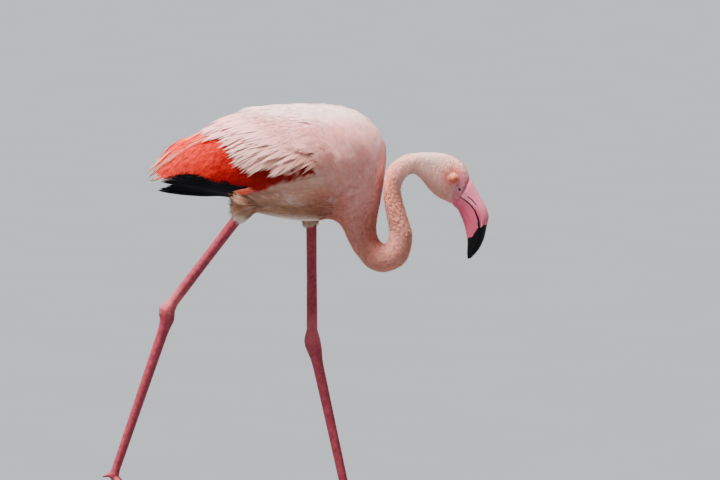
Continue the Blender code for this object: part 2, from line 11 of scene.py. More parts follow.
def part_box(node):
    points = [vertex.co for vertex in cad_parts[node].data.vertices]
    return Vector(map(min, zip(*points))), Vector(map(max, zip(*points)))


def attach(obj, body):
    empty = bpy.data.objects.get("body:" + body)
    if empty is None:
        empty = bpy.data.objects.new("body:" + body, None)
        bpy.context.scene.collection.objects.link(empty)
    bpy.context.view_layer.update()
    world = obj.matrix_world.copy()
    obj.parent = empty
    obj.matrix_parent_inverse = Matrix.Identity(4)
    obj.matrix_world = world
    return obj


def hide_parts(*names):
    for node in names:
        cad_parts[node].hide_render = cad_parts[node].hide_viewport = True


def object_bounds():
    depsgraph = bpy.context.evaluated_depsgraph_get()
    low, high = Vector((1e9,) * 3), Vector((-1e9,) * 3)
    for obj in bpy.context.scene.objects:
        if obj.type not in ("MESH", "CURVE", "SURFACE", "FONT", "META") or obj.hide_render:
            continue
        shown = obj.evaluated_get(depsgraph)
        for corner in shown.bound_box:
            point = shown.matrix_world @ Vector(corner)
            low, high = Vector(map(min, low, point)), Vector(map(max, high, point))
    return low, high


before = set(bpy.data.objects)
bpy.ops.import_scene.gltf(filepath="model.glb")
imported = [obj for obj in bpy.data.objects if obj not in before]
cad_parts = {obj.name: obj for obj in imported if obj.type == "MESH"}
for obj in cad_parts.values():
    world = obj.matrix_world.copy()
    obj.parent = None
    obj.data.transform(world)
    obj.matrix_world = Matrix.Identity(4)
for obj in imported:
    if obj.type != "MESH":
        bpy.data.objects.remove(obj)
cad_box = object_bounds()


# ---- Camera, light and floor -------------------------------------------------------
# The bird is seen from its right side, a little from the front and from just above,
# through a long lens. A broad soft light stands high on the left of the view.
lowest, highest = (Vector(corner) for corner in cad_box)
VIEW_TURN = math.radians(6)
VIEW_RISE = math.radians(5)
VIEW_ROLL = math.radians(3.5)
VIEW_DISTANCE = 10.8
LENS = 300
VIEW_END = 400
AIM_FROM_MIDDLE = Vector((0.104, 0, 0.1315))
SKY_COLOUR = (0.86, 0.9, 0.95, 1)
SKY_STRENGTH = 0.28

middle = (lowest + highest) / 2
aim = middle + AIM_FROM_MIDDLE
level = Vector((math.cos(VIEW_TURN), math.sin(VIEW_TURN), 0))
ahead = Vector((-math.sin(VIEW_TURN) * math.cos(VIEW_RISE),
                math.cos(VIEW_TURN) * math.cos(VIEW_RISE), -math.sin(VIEW_RISE)))
upright = level.cross(ahead)
across = level * math.cos(VIEW_ROLL) + upright * math.sin(VIEW_ROLL)
upwards = upright * math.cos(VIEW_ROLL) - level * math.sin(VIEW_ROLL)

camera_data = bpy.data.cameras.new("camera")
camera_data.lens = LENS
camera_data.clip_end = VIEW_END
camera = bpy.data.objects.new("camera", camera_data)
bpy.context.scene.collection.objects.link(camera)
turn = Matrix((across, upwards, -ahead)).transposed()
camera.matrix_world = Matrix.Translation(aim - ahead * VIEW_DISTANCE) @ turn.to_4x4()
bpy.context.scene.camera = camera


def lamp(name, energy, softness, aim_from):
    """A sun with a wide disc, shining from a direction towards the bird."""
    data = bpy.data.lights.new(name, "SUN")
    data.energy = energy
    data.angle = math.radians(softness)
    light = bpy.data.objects.new(name, data)
    light.rotation_euler = Vector(aim_from).to_track_quat("Z", "Y").to_euler()
    bpy.context.scene.collection.objects.link(light)


lamp("key_light", energy=12.8, softness=20, aim_from=(-0.4, -0.26, 1.3))
lamp("rim_light", energy=0.8, softness=50, aim_from=(0.5, 0.7, 1.2))

world = bpy.data.worlds.new("studio")
bpy.context.scene.world = world
world.use_nodes = True
sky = world.node_tree.nodes["Background"].inputs
sky["Color"].default_value = SKY_COLOUR
sky["Strength"].default_value = SKY_STRENGTH


class Wire:
    """An output socket that can be reckoned with: each operator adds its Math node."""

    def __init__(self, graph, socket):
        self.graph, self.socket = graph, socket

    def out(self, name):
        """Another output of the same node."""
        found = [s for s in self.socket.node.outputs if s.enabled and s.name == name]
        return Wire(self.graph, found[0])

    __add__ = lambda a, b: a.graph.reckon("ADD", a, b)
    __radd__ = lambda a, b: a.graph.reckon("ADD", b, a)
    __sub__ = lambda a, b: a.graph.reckon("SUBTRACT", a, b)
    __rsub__ = lambda a, b: a.graph.reckon("SUBTRACT", b, a)
    __mul__ = lambda a, b: a.graph.reckon("MULTIPLY", a, b)
    __rmul__ = lambda a, b: a.graph.reckon("MULTIPLY", b, a)
    __truediv__ = lambda a, b: a.graph.reckon("DIVIDE", a, b)
    __rtruediv__ = lambda a, b: a.graph.reckon("DIVIDE", b, a)


class Graph:
    """A node tree of any kind, to which one method adds nodes."""

    def __init__(self, tree):
        self.nodes, self.links = tree.nodes, tree.links

    def node(self, kind, settings=None, *values, **named):
        """Add a node, set it up, then feed its sockets by order or by name."""
        node = self.nodes.new(kind)
        for key, value in (settings or {}).items():
            if key == "stops":
                ramp = node.color_ramp.elements
                while len(ramp) < len(value):
                    ramp.new(1.0)
                for stop, (place, colour) in zip(ramp, value):
                    stop.position = place
                    stop.color = (*colour, 1)
            else:
                setattr(node, key, value)
        sockets = [socket for socket in node.inputs if socket.enabled]
        for socket, value in zip(sockets, values):
            self.feed(socket, value)
        for name, value in named.items():
            self.feed(next(s for s in sockets if s.name == name.replace("_", " ")), value)
        outputs = [socket for socket in node.outputs if socket.enabled]
        return Wire(self, outputs[0]) if outputs else node

    def reckon(self, operation, *values):
        return self.node("ShaderNodeMath", {"operation": operation}, *values)

    def feed(self, socket, value):
        if isinstance(value, Wire):
            self.links.new(value.socket, socket)
        elif value is not None:
            if socket.type == "RGBA" and len(value) == 3:
                value = (*value, 1)
            socket.default_value = value

    def span(self, value, low, high):
        """Ease from 0 to 1 as a value goes from low to high."""
        return self.node("ShaderNodeMapRange", {"interpolation_type": "SMOOTHSTEP"},
                         value, low, high, 0.0, 1.0)

    def blend(self, share, first, second):
        """A colour between two others."""
        return self.node("ShaderNodeMix", {"data_type": "RGBA"}, Factor=share, A=first,
                         B=second)

    def tone(self, share, first, second):
        """One colour multiplied by another, as far as the share says."""
        return self.node("ShaderNodeMix", {"data_type": "RGBA", "blend_type": "MULTIPLY"},
                         Factor=share, A=first, B=second)

    def layered(self, colour, *layers):
        """Colours laid over one another, each as far as its share says."""
        for share, over in layers:
            colour = self.blend(share, colour, over)
        return colour

    def noise(self, place, scale, detail=3.0, roughness=0.5):
        return self.node("ShaderNodeTexNoise", None, Vector=place, Scale=scale,
                         Detail=detail, Roughness=roughness)

    def vector(self, operation, *values, **named):
        return self.node("ShaderNodeVectorMath", {"operation": operation}, *values, **named)

    def parts(self, vector):
        """A vector's three numbers."""
        split = self.node("ShaderNodeSeparateXYZ", None, vector)
        return split, split.out("Y"), split.out("Z")


class Finish(Graph):
    """A material made of one Principled shader and the nodes that feed it."""

    def __init__(self, name):
        self.material = bpy.data.materials.new(name)
        self.material.use_nodes = True
        super().__init__(self.material.node_tree)
        self.shader = self.nodes["Principled BSDF"]
        self.place = self.node("ShaderNodeTexCoord").out("Object")

    def named(self, name, output="Fac"):
        """A value that the mesh carries."""
        return self.node("ShaderNodeAttribute", {"attribute_name": name}).out(output)

    def away(self, point):
        """How far a place is from a point."""
        return self.vector("DISTANCE", self.place, point[:])

    def along_vane(self):
        """Place on a long feather: share of its length, and share of its half width."""
        share, across, _ = self.parts(self.named("vane", "Vector"))
        return share, self.reckon("ABSOLUTE", across)

    def barbs(self, share, across, count):
        """The height of barbs that slant back from a feather's shaft."""
        return self.reckon("SINE", (share * count + across * -5.0) * math.tau) * 0.5 + 0.5

    def bump(self, height, distance, strength):
        """Let a height move the surface's normal."""
        self.look(Normal=self.node("ShaderNodeBump", None, Strength=strength, Distance=distance,
                                   Height=height))

    def look(self, **values):
        """Feed the shader's own sockets."""
        for name, value in values.items():
            self.feed(self.shader.inputs[name.replace("_", " ")], value)

    def wear(self, piece):
        piece.data.materials.clear()
        piece.data.materials.append(self.material)


# The floor is a plain pale sheet, far larger than the view.
FLOOR_HALF = 60.0
floor_mesh = bpy.data.meshes.new("floor")
corners = [(x * FLOOR_HALF, y * FLOOR_HALF, 0) for x, y in ((-1, -1), (1, -1), (1, 1), (-1, 1))]
floor_mesh.from_pydata(corners, [], [(0, 1, 2, 3)])
floor = bpy.data.objects.new("floor", floor_mesh)
bpy.context.scene.collection.objects.link(floor)
paper = Finish("floor_paper")
grain = paper.noise(paper.place, 3.0)
paper.look(Base_Color=paper.blend(grain, (0.145, 0.15, 0.157), (0.157, 0.163, 0.17)),
           Roughness=0.9)
paper.wear(floor)


# ---- Skin --------------------------------------------------------------------------
# One skin runs over trunk, thighs, tail, neck, head and bare legs. Under the feathers it
# lies as deep as they are thick; on face and legs it is the bird's own surface.
MM = 0.001
FLESH_BEHIND = ["trunk", "tail", "thigh_left", "thigh_right", "neck_1"]
FLESH_AHEAD = ["neck_2", "neck_3", "neck_4", "neck_5", "head"]
BODY_GRID = 3.1 * MM
LEG_GRID = 1.85 * MM
LEG_TOP_RAISE = 24 * MM            # the leg's skin runs this far up inside the thigh
SAME_PLACE = 0.001 * MM
SIDES = {"left": 1, "right": -1}


def linked(name, mesh):
    """A new piece with this mesh, at the origin."""
    piece = bpy.data.objects.new(name, mesh)
    bpy.context.scene.collection.objects.link(piece)
    return piece


def shape_of(*meshes):
    """One editable shape made of copies of meshes."""
    bm = bmesh.new()
    for mesh in meshes:
        bm.from_mesh(mesh)
    return bm


def written(bm, mesh):
    """Put an edited shape into a mesh."""
    bm.to_mesh(mesh)
    bm.free()
    return mesh


def gathered(name, nodes):
    """One piece of copies of CAD nodes, with their doubled corners merged."""
    bm = shape_of(*(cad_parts[node].data for node in nodes))
    bmesh.ops.remove_doubles(bm, verts=bm.verts, dist=SAME_PLACE)
    return linked(name, written(bm, bpy.data.meshes.new(name)))


def settle(piece):
    """Make a piece's evaluated shape its plain mesh, and take its modifiers off."""
    graph = bpy.context.evaluated_depsgraph_get()
    mesh = bpy.data.meshes.new_from_object(piece.evaluated_get(graph))
    piece.modifiers.clear()
    old, piece.data = piece.data, mesh
    mesh.name = piece.name
    bpy.data.meshes.remove(old)
    return piece


def even_grid(piece, size):
    """Cover a piece with an even grid of small faces."""
    modifier = piece.modifiers.new("grid", "REMESH")
    modifier.mode = "VOXEL"
    modifier.voxel_size = size
    return settle(piece)


def rows_of(items, key, width, kind=np.float32):
    """One row of numbers for each item of a mesh."""
    flat = np.empty(len(items) * width, kind)
    items.foreach_get(key, flat)
    return flat.reshape(-1, width)


def points_of(mesh):
    return rows_of(mesh.vertices, "co", 3).astype(float)


def normals_of(mesh):
    return rows_of(mesh.vertex_normals, "vector", 3).astype(float)


def edges_of(mesh):
    return rows_of(mesh.edges, "vertices", 2, np.int32)


def move_points(mesh, points):
    mesh.vertices.foreach_set("co", points.astype(np.float32).ravel())
    mesh.update()


def tree_of(mesh):
    """A search tree over a mesh's faces."""
    return BVHTree.FromPolygons([v.co for v in mesh.vertices], [f.vertices for f in mesh.polygons])


def summed(edges, at_near, at_far, count):
    """What each point gets from its edges, column by column."""
    near, far = edges.T
    return np.stack([np.bincount(near, here, count) + np.bincount(far, there, count)
                     for here, there in zip(at_near.T, at_far.T)], 1)


def spread_mean(values, edges):
    """The mean of each point's neighbours."""
    near, far = edges.T
    count = np.maximum(np.bincount(edges.ravel(), minlength=len(values)), 1)
    return summed(edges, values[far], values[near], len(values)) / count[:, None]


def relaxed(values, edges, rounds, shares=(0.5,)):
    """Smooth values over a mesh. Shares of opposite sign keep its size."""
    for i in range(rounds):
        share = shares[i % len(shares)]
        values = values + (spread_mean(values, edges) - values) * share
    return values


KEEP_SIZE = (0.6, -0.62)


def unit(vectors):
    return vectors / np.maximum(np.linalg.norm(vectors, axis=-1, keepdims=True), 1e-12)


def ease(values, low, high):
    """Rise smoothly from 0 to 1 as values go from low to high."""
    t = np.clip((values - low) / (high - low), 0, 1)
    return t * t * (3 - 2 * t)


def carry(mesh, name, values):
    """Store a number or a vector for each point of a mesh."""
    values = np.asarray(values, np.float32)
    key, kind = ("value", "FLOAT") if values.ndim == 1 else ("vector", "FLOAT_VECTOR")
    layer = mesh.attributes.get(name) or mesh.attributes.new(name, kind, "POINT")
    layer.data.foreach_set(key, values.ravel())


def leg_shell(side):
    """The bare leg, its top moved up inside the thigh."""
    leg = gathered("leg_" + side, ["shank_" + side, "tarsus_" + side, "foot_" + side])
    points = points_of(leg.data)
    shank = points_of(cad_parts["shank_" + side].data)
    axis = np.linalg.svd(shank - shank.mean(0), full_matrices=False)[2][0]
    axis *= np.sign(axis[2])
    along = points @ axis
    points[along > along.max() - 1 * MM] += axis * LEG_TOP_RAISE
    move_points(leg.data, points)
    return even_grid(leg, LEG_GRID)


# The neck nearly touches the breast. While the grid is made it stands clear in front, so
# that the two aren't fused, and then it goes back.
CLEAR_BY = 45 * MM
breast_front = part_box("trunk")[1].x
bend_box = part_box("neck_2")
rise_start = bend_box[0].z + 0.6 * (bend_box[1].z - bend_box[0].z)
rise_end = rise_start + 58 * MM


def clearance(points):
    return CLEAR_BY * ease(points[:, 2], rise_start, rise_end)


skin = gathered("skin", FLESH_BEHIND)
raised = gathered("raised", FLESH_AHEAD + ["eye_left", "eye_right"])
points = points_of(raised.data)
points[:, 0] += clearance(points)
move_points(raised.data, points)
bm = shape_of(skin.data, raised.data)
bmesh.ops.remove_doubles(bm, verts=bm.verts, dist=SAME_PLACE)
written(bm, skin.data)
bpy.data.objects.remove(raised)
even_grid(skin, BODY_GRID)
points = points_of(skin.data)
shift = clearance(points)
points[:, 0] -= shift * (points[:, 0] > breast_front + 2 * MM + shift / 2)
move_points(skin.data, points)

# The face gets a finer grid, and the lids a finer one still.
eye_middles = {side: sum(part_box("eye_" + side), Vector()) / 2 for side in SIDES}
eye_radius = (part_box("eye_left")[1].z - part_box("eye_left")[0].z) / 2
bill_top = max((v.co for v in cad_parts["bill_upper"].data.vertices), key=lambda p: p.z)
bill_bottom = min((v.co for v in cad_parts["bill_lower"].data.vertices), key=lambda p: p.x)
bill_root = (bill_top + bill_bottom) / 2
bill_ahead = Vector((0, 1, 0)).cross(bill_bottom - bill_top).normalized()
if bill_ahead.x < 0:
    bill_ahead.negate()
FACE_REACH = 62 * MM
LID_REACHES = (13 * MM, 9 * MM)
LORE_REACH = 15 * MM
lore_middles = [Vector((0.281, middle.y, 0.609)) for middle in eye_middles.values()]

bm = shape_of(skin.data)
for middles, reach in (([bill_root], FACE_REACH), (lore_middles, LORE_REACH),
                       (eye_middles.values(), LID_REACHES[0]),
                       (eye_middles.values(), LID_REACHES[1])):
    edges = [edge for edge in bm.edges
             if any(min((v.co - m).length for v in edge.verts) < reach for m in middles)]
    bmesh.ops.subdivide_edges(bm, edges=edges, cuts=1, use_grid_fill=True)
bmesh.ops.triangulate(bm, faces=[face for face in bm.faces if len(face.verts) > 4])
written(bm, skin.data)

body_edges = edges_of(skin.data)
body_points = relaxed(points_of(skin.data), body_edges, 36, KEEP_SIZE)
move_points(skin.data, body_points)


def ways(mesh, points):
    """For each point, its neighbours across edges and across quads, with lengths."""
    quads = np.array([tuple(f.vertices) for f in mesh.polygons if len(f.vertices) == 4])
    pairs = np.concatenate([edges_of(mesh), quads[:, [0, 2]], quads[:, [1, 3]]])
    lengths = np.linalg.norm(points[pairs[:, 0]] - points[pairs[:, 1]], axis=1)
    found = [[] for _ in points]
    for (a, b), length in zip(pairs.tolist(), lengths.tolist()):
        found[a].append((b, length))
        found[b].append((a, length))
    return found


def distances(starts, neighbours):
    """Distance over the surface from the nearest start."""
    reached = [math.inf] * len(neighbours)
    queue = [(0.0, i) for i in starts]
    for _, i in queue:
        reached[i] = 0.0
    heapq.heapify(queue)
    while queue:
        far, i = heapq.heappop(queue)
        if far > reached[i]:
            continue
        for j, length in neighbours[i]:
            if far + length < reached[j]:
                reached[j] = far + length
                heapq.heappush(queue, (far + length, j))
    reached = np.array(reached)
    return np.where(np.isfinite(reached), reached, reached[np.isfinite(reached)].max())


def slope(values, points, normals, edges):
    """Unit direction in which values rise along the surface."""
    near, far = edges.T
    apart = points[far] - points[near]
    rise = (values[far] - values[near]) / np.maximum((apart ** 2).sum(1), 1e-12)
    pull = apart * rise[:, None]
    return flat_on(summed(edges, pull, pull, len(points)), normals)


def flat_on(vectors, normals):
    """Vectors laid on the surface, one unit long."""
    return unit(vectors - normals * (vectors * normals).sum(1, keepdims=True))


# Feathers lie away from the bill, along the surface. How far a place is from the bill,
# and how far it faces the bird's back, say which plumage grows there.
body_normals = normals_of(skin.data)
before_bill = (body_points - np.array(bill_top)) @ np.array(bill_ahead)
from_root = np.linalg.norm(body_points - np.array(bill_root), axis=1)
BILL_EDGE = 1.5 * MM
BILL_REACH = 45 * MM
starts = np.flatnonzero((before_bill > -BILL_EDGE) & (from_root < BILL_REACH))
reach = distances(starts.tolist(), ways(skin.data, body_points))
potential = relaxed(reach[:, None], body_edges, 300)[:, 0]
lie = slope(potential, body_points, body_normals, body_edges)
lie = flat_on(relaxed(lie, body_edges, 20), body_normals)
back = (body_normals * unit(np.cross((0.0, 1.0, 0.0), lie))).sum(1)
back = relaxed(back[:, None], body_edges, 12)[:, 0]

CAST_FROM = 25 * MM
CAST_SHARES = np.array((0.2, 0.4, 0.6, 0.8, 1.0))
MOST_TURN = 0.6
MOST_BENDS = (-14, 7)
MOST_RAISE = 0.12


def resting(points, normals, lie, lengths, edges, ground, clear):
    """How a feather from each place lies just over the ground ahead of it: which way it sets
    out, which way it faces, and how far it bends per metre squared."""
    aheads = np.maximum(lengths, MM)[:, None] * CAST_SHARES
    heights = np.zeros(aheads.shape)
    found = np.zeros(aheads.shape)
    for i, (point, normal, along) in enumerate(zip(points, normals, lie)):
        start = Vector(point + normal * CAST_FROM)
        along = Vector(along)
        down = Vector(-normal)
        for k, ahead in enumerate(aheads[i].tolist()):
            far = ground.ray_cast(start + along * ahead, down, 3 * CAST_FROM)[3]
            if far is not None and CAST_FROM - far < 0.6 * ahead + MM:
                heights[i, k] = CAST_FROM - far
                found[i, k] = 1
    heights += clear * CAST_SHARES ** 0.5
    first = (found * aheads ** 2).sum(1) + 1e-9
    mixed = (found * aheads ** 3).sum(1)
    second = (found * aheads ** 4).sum(1) + 1e-12
    rise = (found * heights * aheads).sum(1)
    curve = (found * heights * aheads ** 2).sum(1)
    divisor = first * second - mixed ** 2 + 1e-16
    turn = (rise * second - curve * mixed) / divisor
    bends = (curve * first - rise * mixed) / divisor
    few = found.sum(1) < 3
    turn[few] = bends[few] = 0
    turn, bends = np.clip(turn, -MOST_TURN, MOST_TURN), np.clip(bends, *MOST_BENDS)
    short = found * (heights - turn[:, None] * aheads - bends[:, None] * aheads ** 2) / aheads
    turn += np.clip(short.max(1), 0, MOST_RAISE)
    turn, bends = relaxed(np.stack([turn, bends], 1), edges, 6).T
    ahead = unit(lie + normals * turn[:, None])
    facing = unit(normals - lie * turn[:, None])
    return ahead, facing, facing * bends[:, None]


# The mantle's feathers hang from the shoulders over the folded wings.
MANTLE_START, MANTLE_FULL = 75 * MM, 10 * MM
MANTLE_FLOOR = (608 * MM, 640 * MM)
TOP_SLOPE = math.radians(10)
REAR_SLOPE = math.radians(26)
FRONT_SLOPE = math.radians(42)
STEEP_HEIGHTS = (0.64, 0.72)
STEEP_PLACES = (-0.12, -0.03)


def sloped(angles):
    """Directions to the rear and down by an angle."""
    return np.stack([-np.cos(angles), np.zeros_like(angles), -np.sin(angles)], 1)


def scapular_slopes(points):
    lower = 1 - ease(points[:, 2], *STEEP_HEIGHTS)
    forward = ease(points[:, 0], *STEEP_PLACES)
    steep = REAR_SLOPE + (FRONT_SLOPE - REAR_SLOPE) * forward
    return TOP_SLOPE + (steep - TOP_SLOPE) * lower


in_mantle = ease(-body_points[:, 0], -MANTLE_START, -MANTLE_FULL)
in_mantle *= ease(body_points[:, 2], *MANTLE_FLOOR)
hanging = flat_on(sloped(scapular_slopes(body_points)), body_normals)
lie = flat_on(lie + (hanging - lie) * in_mantle[:, None], body_normals)
lie = flat_on(relaxed(lie, body_edges, 12), body_normals)
wings = gathered("wings", ["wing_left", "wing_right"])
wing_tree = tree_of(wings.data)
from_wing = np.array([wing_tree.find_nearest(Vector(p))[3] for p in body_points])

# How deep the coat is, from the bare face to the deep plumage of the trunk.
DEPTH_BY_REACH = ((0.0, 0.03, 0.08, 0.14, 0.28, 0.38, 0.6),
                  (0.0, 0.5, 1.0, 1.8, 2.4, 3.4, 4.0))
TAIL_DEPTH = 1.0
THIGH_COAT_DEPTH = 3.4
WING_EDGE_DEPTH = 1.2
WING_EDGE_FADE = (18 * MM, 45 * MM)
PART_FADE = 12 * MM
THIGH_FADE = (6 * MM, 10 * MM)
tail_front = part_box("tail")[1].x
thigh_low, thigh_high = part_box("thigh_left")
depth = np.interp(reach, *DEPTH_BY_REACH)
in_tail = ease(-body_points[:, 0], -tail_front, -tail_front + PART_FADE)
depth += (TAIL_DEPTH - depth) * in_tail
depth += (np.minimum(depth, WING_EDGE_DEPTH) - depth) * (1 - ease(from_wing, *WING_EDGE_FADE))
below_belly = 0.5 * (thigh_low.z + thigh_high.z)
in_thigh = 1 - ease(body_points[:, 2], below_belly - THIGH_FADE[0], below_belly + THIGH_FADE[1])
in_thigh *= (body_points[:, 0] < thigh_high.x + PART_FADE)
depth += (np.minimum(depth, THIGH_COAT_DEPTH) - depth) * in_thigh

# Naked skin: the lores and a ring round the eye, narrowing towards the gape.
nearest_eye = np.min([np.linalg.norm(body_points - np.array(m), axis=1)
                      for m in eye_middles.values()], axis=0)
LORE_LENGTH = 17 * MM
FOREHEAD_SHORTER = 12 * MM         # the feathers come further forward there
FOREHEAD_HEIGHTS = (4 * MM, 20 * MM)
FACE_END = 60 * MM
RING_FADE = (1 * MM, 4.5 * MM)
high_on_face = ease(body_points[:, 2] - bill_top.z, *FOREHEAD_HEIGHTS)
bare = 1 - ease(-before_bill + FOREHEAD_SHORTER * high_on_face, LORE_LENGTH * 0.7,
                LORE_LENGTH * 1.3)
bare *= from_root < FACE_END
bare = np.maximum(bare, 1 - ease(nearest_eye - eye_radius, *RING_FADE))
depth *= 1 - bare
body_points = body_points - body_normals * relaxed(depth[:, None], body_edges, 20) * MM


def from_path(places, rows):
    """Side-view distance of places from a line given as (x, z) points in millimetres, and
    how far along it they are."""
    rows = np.array(rows) * MM
    flat = places[:, [0, 2]]
    lengths = np.linalg.norm(np.diff(rows, axis=0), axis=1)
    nearest, shares, done = np.full(len(places), 1.0), np.zeros(len(places)), 0.0
    for start, end, length in zip(rows, rows[1:], lengths):
        along = np.clip(((flat - start) @ (end - start)) / length ** 2, 0, 1)
        away = np.linalg.norm(flat - start - along[:, None] * (end - start), axis=1)
        closer = away < nearest
        nearest[closer] = away[closer]
        shares[closer] = (done + along[closer] * length) / lengths.sum()
        done += length
    return nearest, shares


def dip(away, depth, width):
    """The depth of a soft furrow, in millimetres, at a distance from its line."""
    return depth * MM * np.exp(-(away / (width * MM)) ** 2)


# The naked face has a small pit before the eye, and folds towards the gape.
PIT = [(280.4, 609.8), (281.6, 608.2)]
FOLDS = [[(271, 622.5), (275, 619), (281, 612)], [(283, 607), (290, 603.5), (297, 597)],
         [(268, 608), (273, 603), (279, 597)], [(271, 600), (275, 598.5), (279, 597)],
         [(270, 594), (273, 588), (276, 583)]]
CHEEK_FACING = (0.35, 0.6)
on_cheek = ease(np.abs(body_normals[:, 1]), *CHEEK_FACING) * (from_root < FACE_END)
from_pit = from_path(body_points, PIT)[0]
from_fold = np.min([from_path(body_points, fold)[0] for fold in FOLDS], axis=0)
sunk = dip(from_pit, 1.3, 1.9) + dip(from_fold, 0.35, 0.9)
body_points = body_points - body_normals * (sunk * on_cheek)[:, None]
off_cheek = (1 - on_cheek) * 20 * MM
from_pit, from_fold = from_pit + off_cheek, from_fold + off_cheek

# The lids close over the eyeball but for a narrow slit, with a soft rim along it.
LID_THICKNESS = 0.8 * MM
SLIT_TILT = math.radians(-28)
SLIT_HALF_LENGTH = 4.4 * MM
SLIT_HALF_HEIGHT = 0.75 * MM
SLIT_DEPTH = 2.2 * MM
RIM_HEIGHT = 0.35 * MM
DOME_SHARE = 0.8                   # the lid leaves the ball here, and slopes to the face
DOME_SLOPE = 1.33
LID_FILLET = 2.4 * MM
LID_SHARES = (1.2, 1.7)            # of the lid's radius, where it fades into the face
EYE_SURROUND = 16 * MM
RIM_PLACE, RIM_WIDTH = 0.7 * MM, 0.6 * MM
lid_radius = eye_radius + LID_THICKNESS
from_slit = np.full(len(body_points), 1.0)
along_slit = np.array((math.cos(SLIT_TILT), 0, math.sin(SLIT_TILT)))
for side, centre in eye_middles.items():
    outwards = np.array((0, float(SIDES[side]), 0))
    across_slit = np.cross(outwards, along_slit)
    offset = body_points - np.array(centre)
    height = offset @ outwards
    near = np.flatnonzero((np.linalg.norm(offset, axis=1) < EYE_SURROUND) & (height > -2 * MM))
    u = offset[near] @ along_slit
    v = offset[near] @ across_slit
    r = np.hypot(u, v)
    dome = np.sqrt(lid_radius ** 2 - np.minimum(r, DOME_SHARE * lid_radius) ** 2)
    dome -= np.maximum(r - DOME_SHARE * lid_radius, 0) * DOME_SLOPE
    ground = height[near]
    lifted = (dome + ground + np.sqrt((dome - ground) ** 2 + LID_FILLET ** 2)) / 2
    shaped = ground + (lifted - ground) * (1 - ease(r / lid_radius, *LID_SHARES))
    from_slit[near] = np.hypot(u / 1.5, v)
    opening = SLIT_HALF_HEIGHT * np.maximum(1 - (u / SLIT_HALF_LENGTH) ** 2, 0)
    rim = np.exp(-((np.abs(v) - opening - RIM_PLACE) / RIM_WIDTH) ** 2)
    rim *= 1 - ease(np.abs(u), SLIT_HALF_LENGTH * 0.9, SLIT_HALF_LENGTH * 1.3)
    slit = 1 - ease(np.abs(v), opening * 0.7, opening * 1.1 + 0.05 * MM)
    slit *= np.abs(u) < SLIT_HALF_LENGTH
    shaped += RIM_HEIGHT * rim * (1 - slit) - SLIT_DEPTH * slit
    body_points[near] += outwards * (shaped - ground)[:, None]
move_points(skin.data, body_points)

# The short down of the head, the neck's small feathers and the body's larger ones.
FEATHER_BY_REACH = ((0.0, 0.05, 0.10, 0.2, 0.3, 0.36, 0.46, 0.6),
                    (2.6, 3.6, 5.5, 7.0, 9.5, 15.0, 27.0, 32.0))
THIGH_FEATHER = 15.0
THIGH_HANG = np.array((-0.5, 0.0, -0.86))
MANTLE_FEATHER = 52.0
MANTLE_FEATHER_HEIGHTS = (0.62, 0.69)
feather = np.interp(reach, *FEATHER_BY_REACH)
feather += (MANTLE_FEATHER - feather) * in_mantle \
    * ease(body_points[:, 2], *MANTLE_FEATHER_HEIGHTS)
feather += (THIGH_FEATHER - feather) * in_thigh

# The red of the wing stays open between the scapulars' tips and the flank's feathers.
PALE_EDGE = [(-194, 700), (-190, 676), (-171, 671), (-149, 670), (-137, 655), (-122, 632),
             (-106, 619), (-76, 622), (-38, 619), (-7, 628), (16, 633), (44, 629)]
FLANK_EDGE = [(-290, 556), (-136, 562), (-132, 580), (-101, 583), (-79, 591), (-56, 597),
              (-29, 604), (-3, 612), (24, 619), (44, 624)]
OPEN_FRONT = 46 * MM
SHORTEST = 6.0
SHORTENED = 0.82
WING_SIDE_REACH = 45 * MM
WING_SIDE_FACING = 0.35
UNDER_WING_REACH = 14 * MM


def line_height(x, rows):
    """Height of a line given as (x, z) points in millimetres, at places x."""
    xs, zs = zip(*rows)
    return np.interp(x, np.array(xs) * MM, np.array(zs) * MM)


def in_open_red(places):
    x, z = places[:, 0], places[:, 2]
    return (x < OPEN_FRONT) & (z > line_height(x, FLANK_EDGE)) & (z < line_height(x, PALE_EDGE))


body_normals = unit(relaxed(normals_of(skin.data), body_edges, 6))
ground = shape_of(skin.data, wings.data)
ground_tree = BVHTree.FromBMesh(ground)
ground.free()
bpy.data.objects.remove(wings)
lie = flat_on(lie + (THIGH_HANG - lie) * in_thigh[:, None] * 0.8, body_normals)
beside_wing = (np.abs(body_normals[:, 1]) > WING_SIDE_FACING) & (from_wing < WING_SIDE_REACH)
for _ in range(9):
    hiding = beside_wing & in_open_red(body_points + lie * feather[:, None] * MM)
    feather = np.where(hiding, np.maximum(feather * SHORTENED, SHORTEST), feather)
lie, body_out, bend = resting(body_points, body_normals, lie, feather * MM, body_edges,
                              ground_tree, 1.5 * MM)
under_wing = np.array([wing_tree.ray_cast(Vector(p), Vector(n))[0] is not None
                       for p, n in zip(body_points, body_normals)])
under_wing &= from_wing < UNDER_WING_REACH
HEAD_COAT_END = 0.105
NECK_COAT_END = 0.345
NECK_COAT_FADE = 40 * MM
BODY_COAT_FADE = (20 * MM, 15 * MM)
covers = {"head_cover": (1 - bare) * (reach < HEAD_COAT_END),
          "neck_cover": (reach >= HEAD_COAT_END)
          * (1 - ease(reach, NECK_COAT_END, NECK_COAT_END + NECK_COAT_FADE))}
body_cover = (1 - beside_wing * in_open_red(body_points)) \
    * ease(reach, NECK_COAT_END - BODY_COAT_FADE[0], NECK_COAT_END + BODY_COAT_FADE[1]) \
    * (relaxed(under_wing[:, None] * 1.0, body_edges, 4)[:, 0] < 0.9)
on_mantle = in_mantle > 0.5
for side, sign in SIDES.items():
    for part in ("_mantle", "_flank"):
        covers[side + part] = body_cover * (body_points[:, 1] * sign > 0) \
            * (on_mantle == (part == "_mantle"))

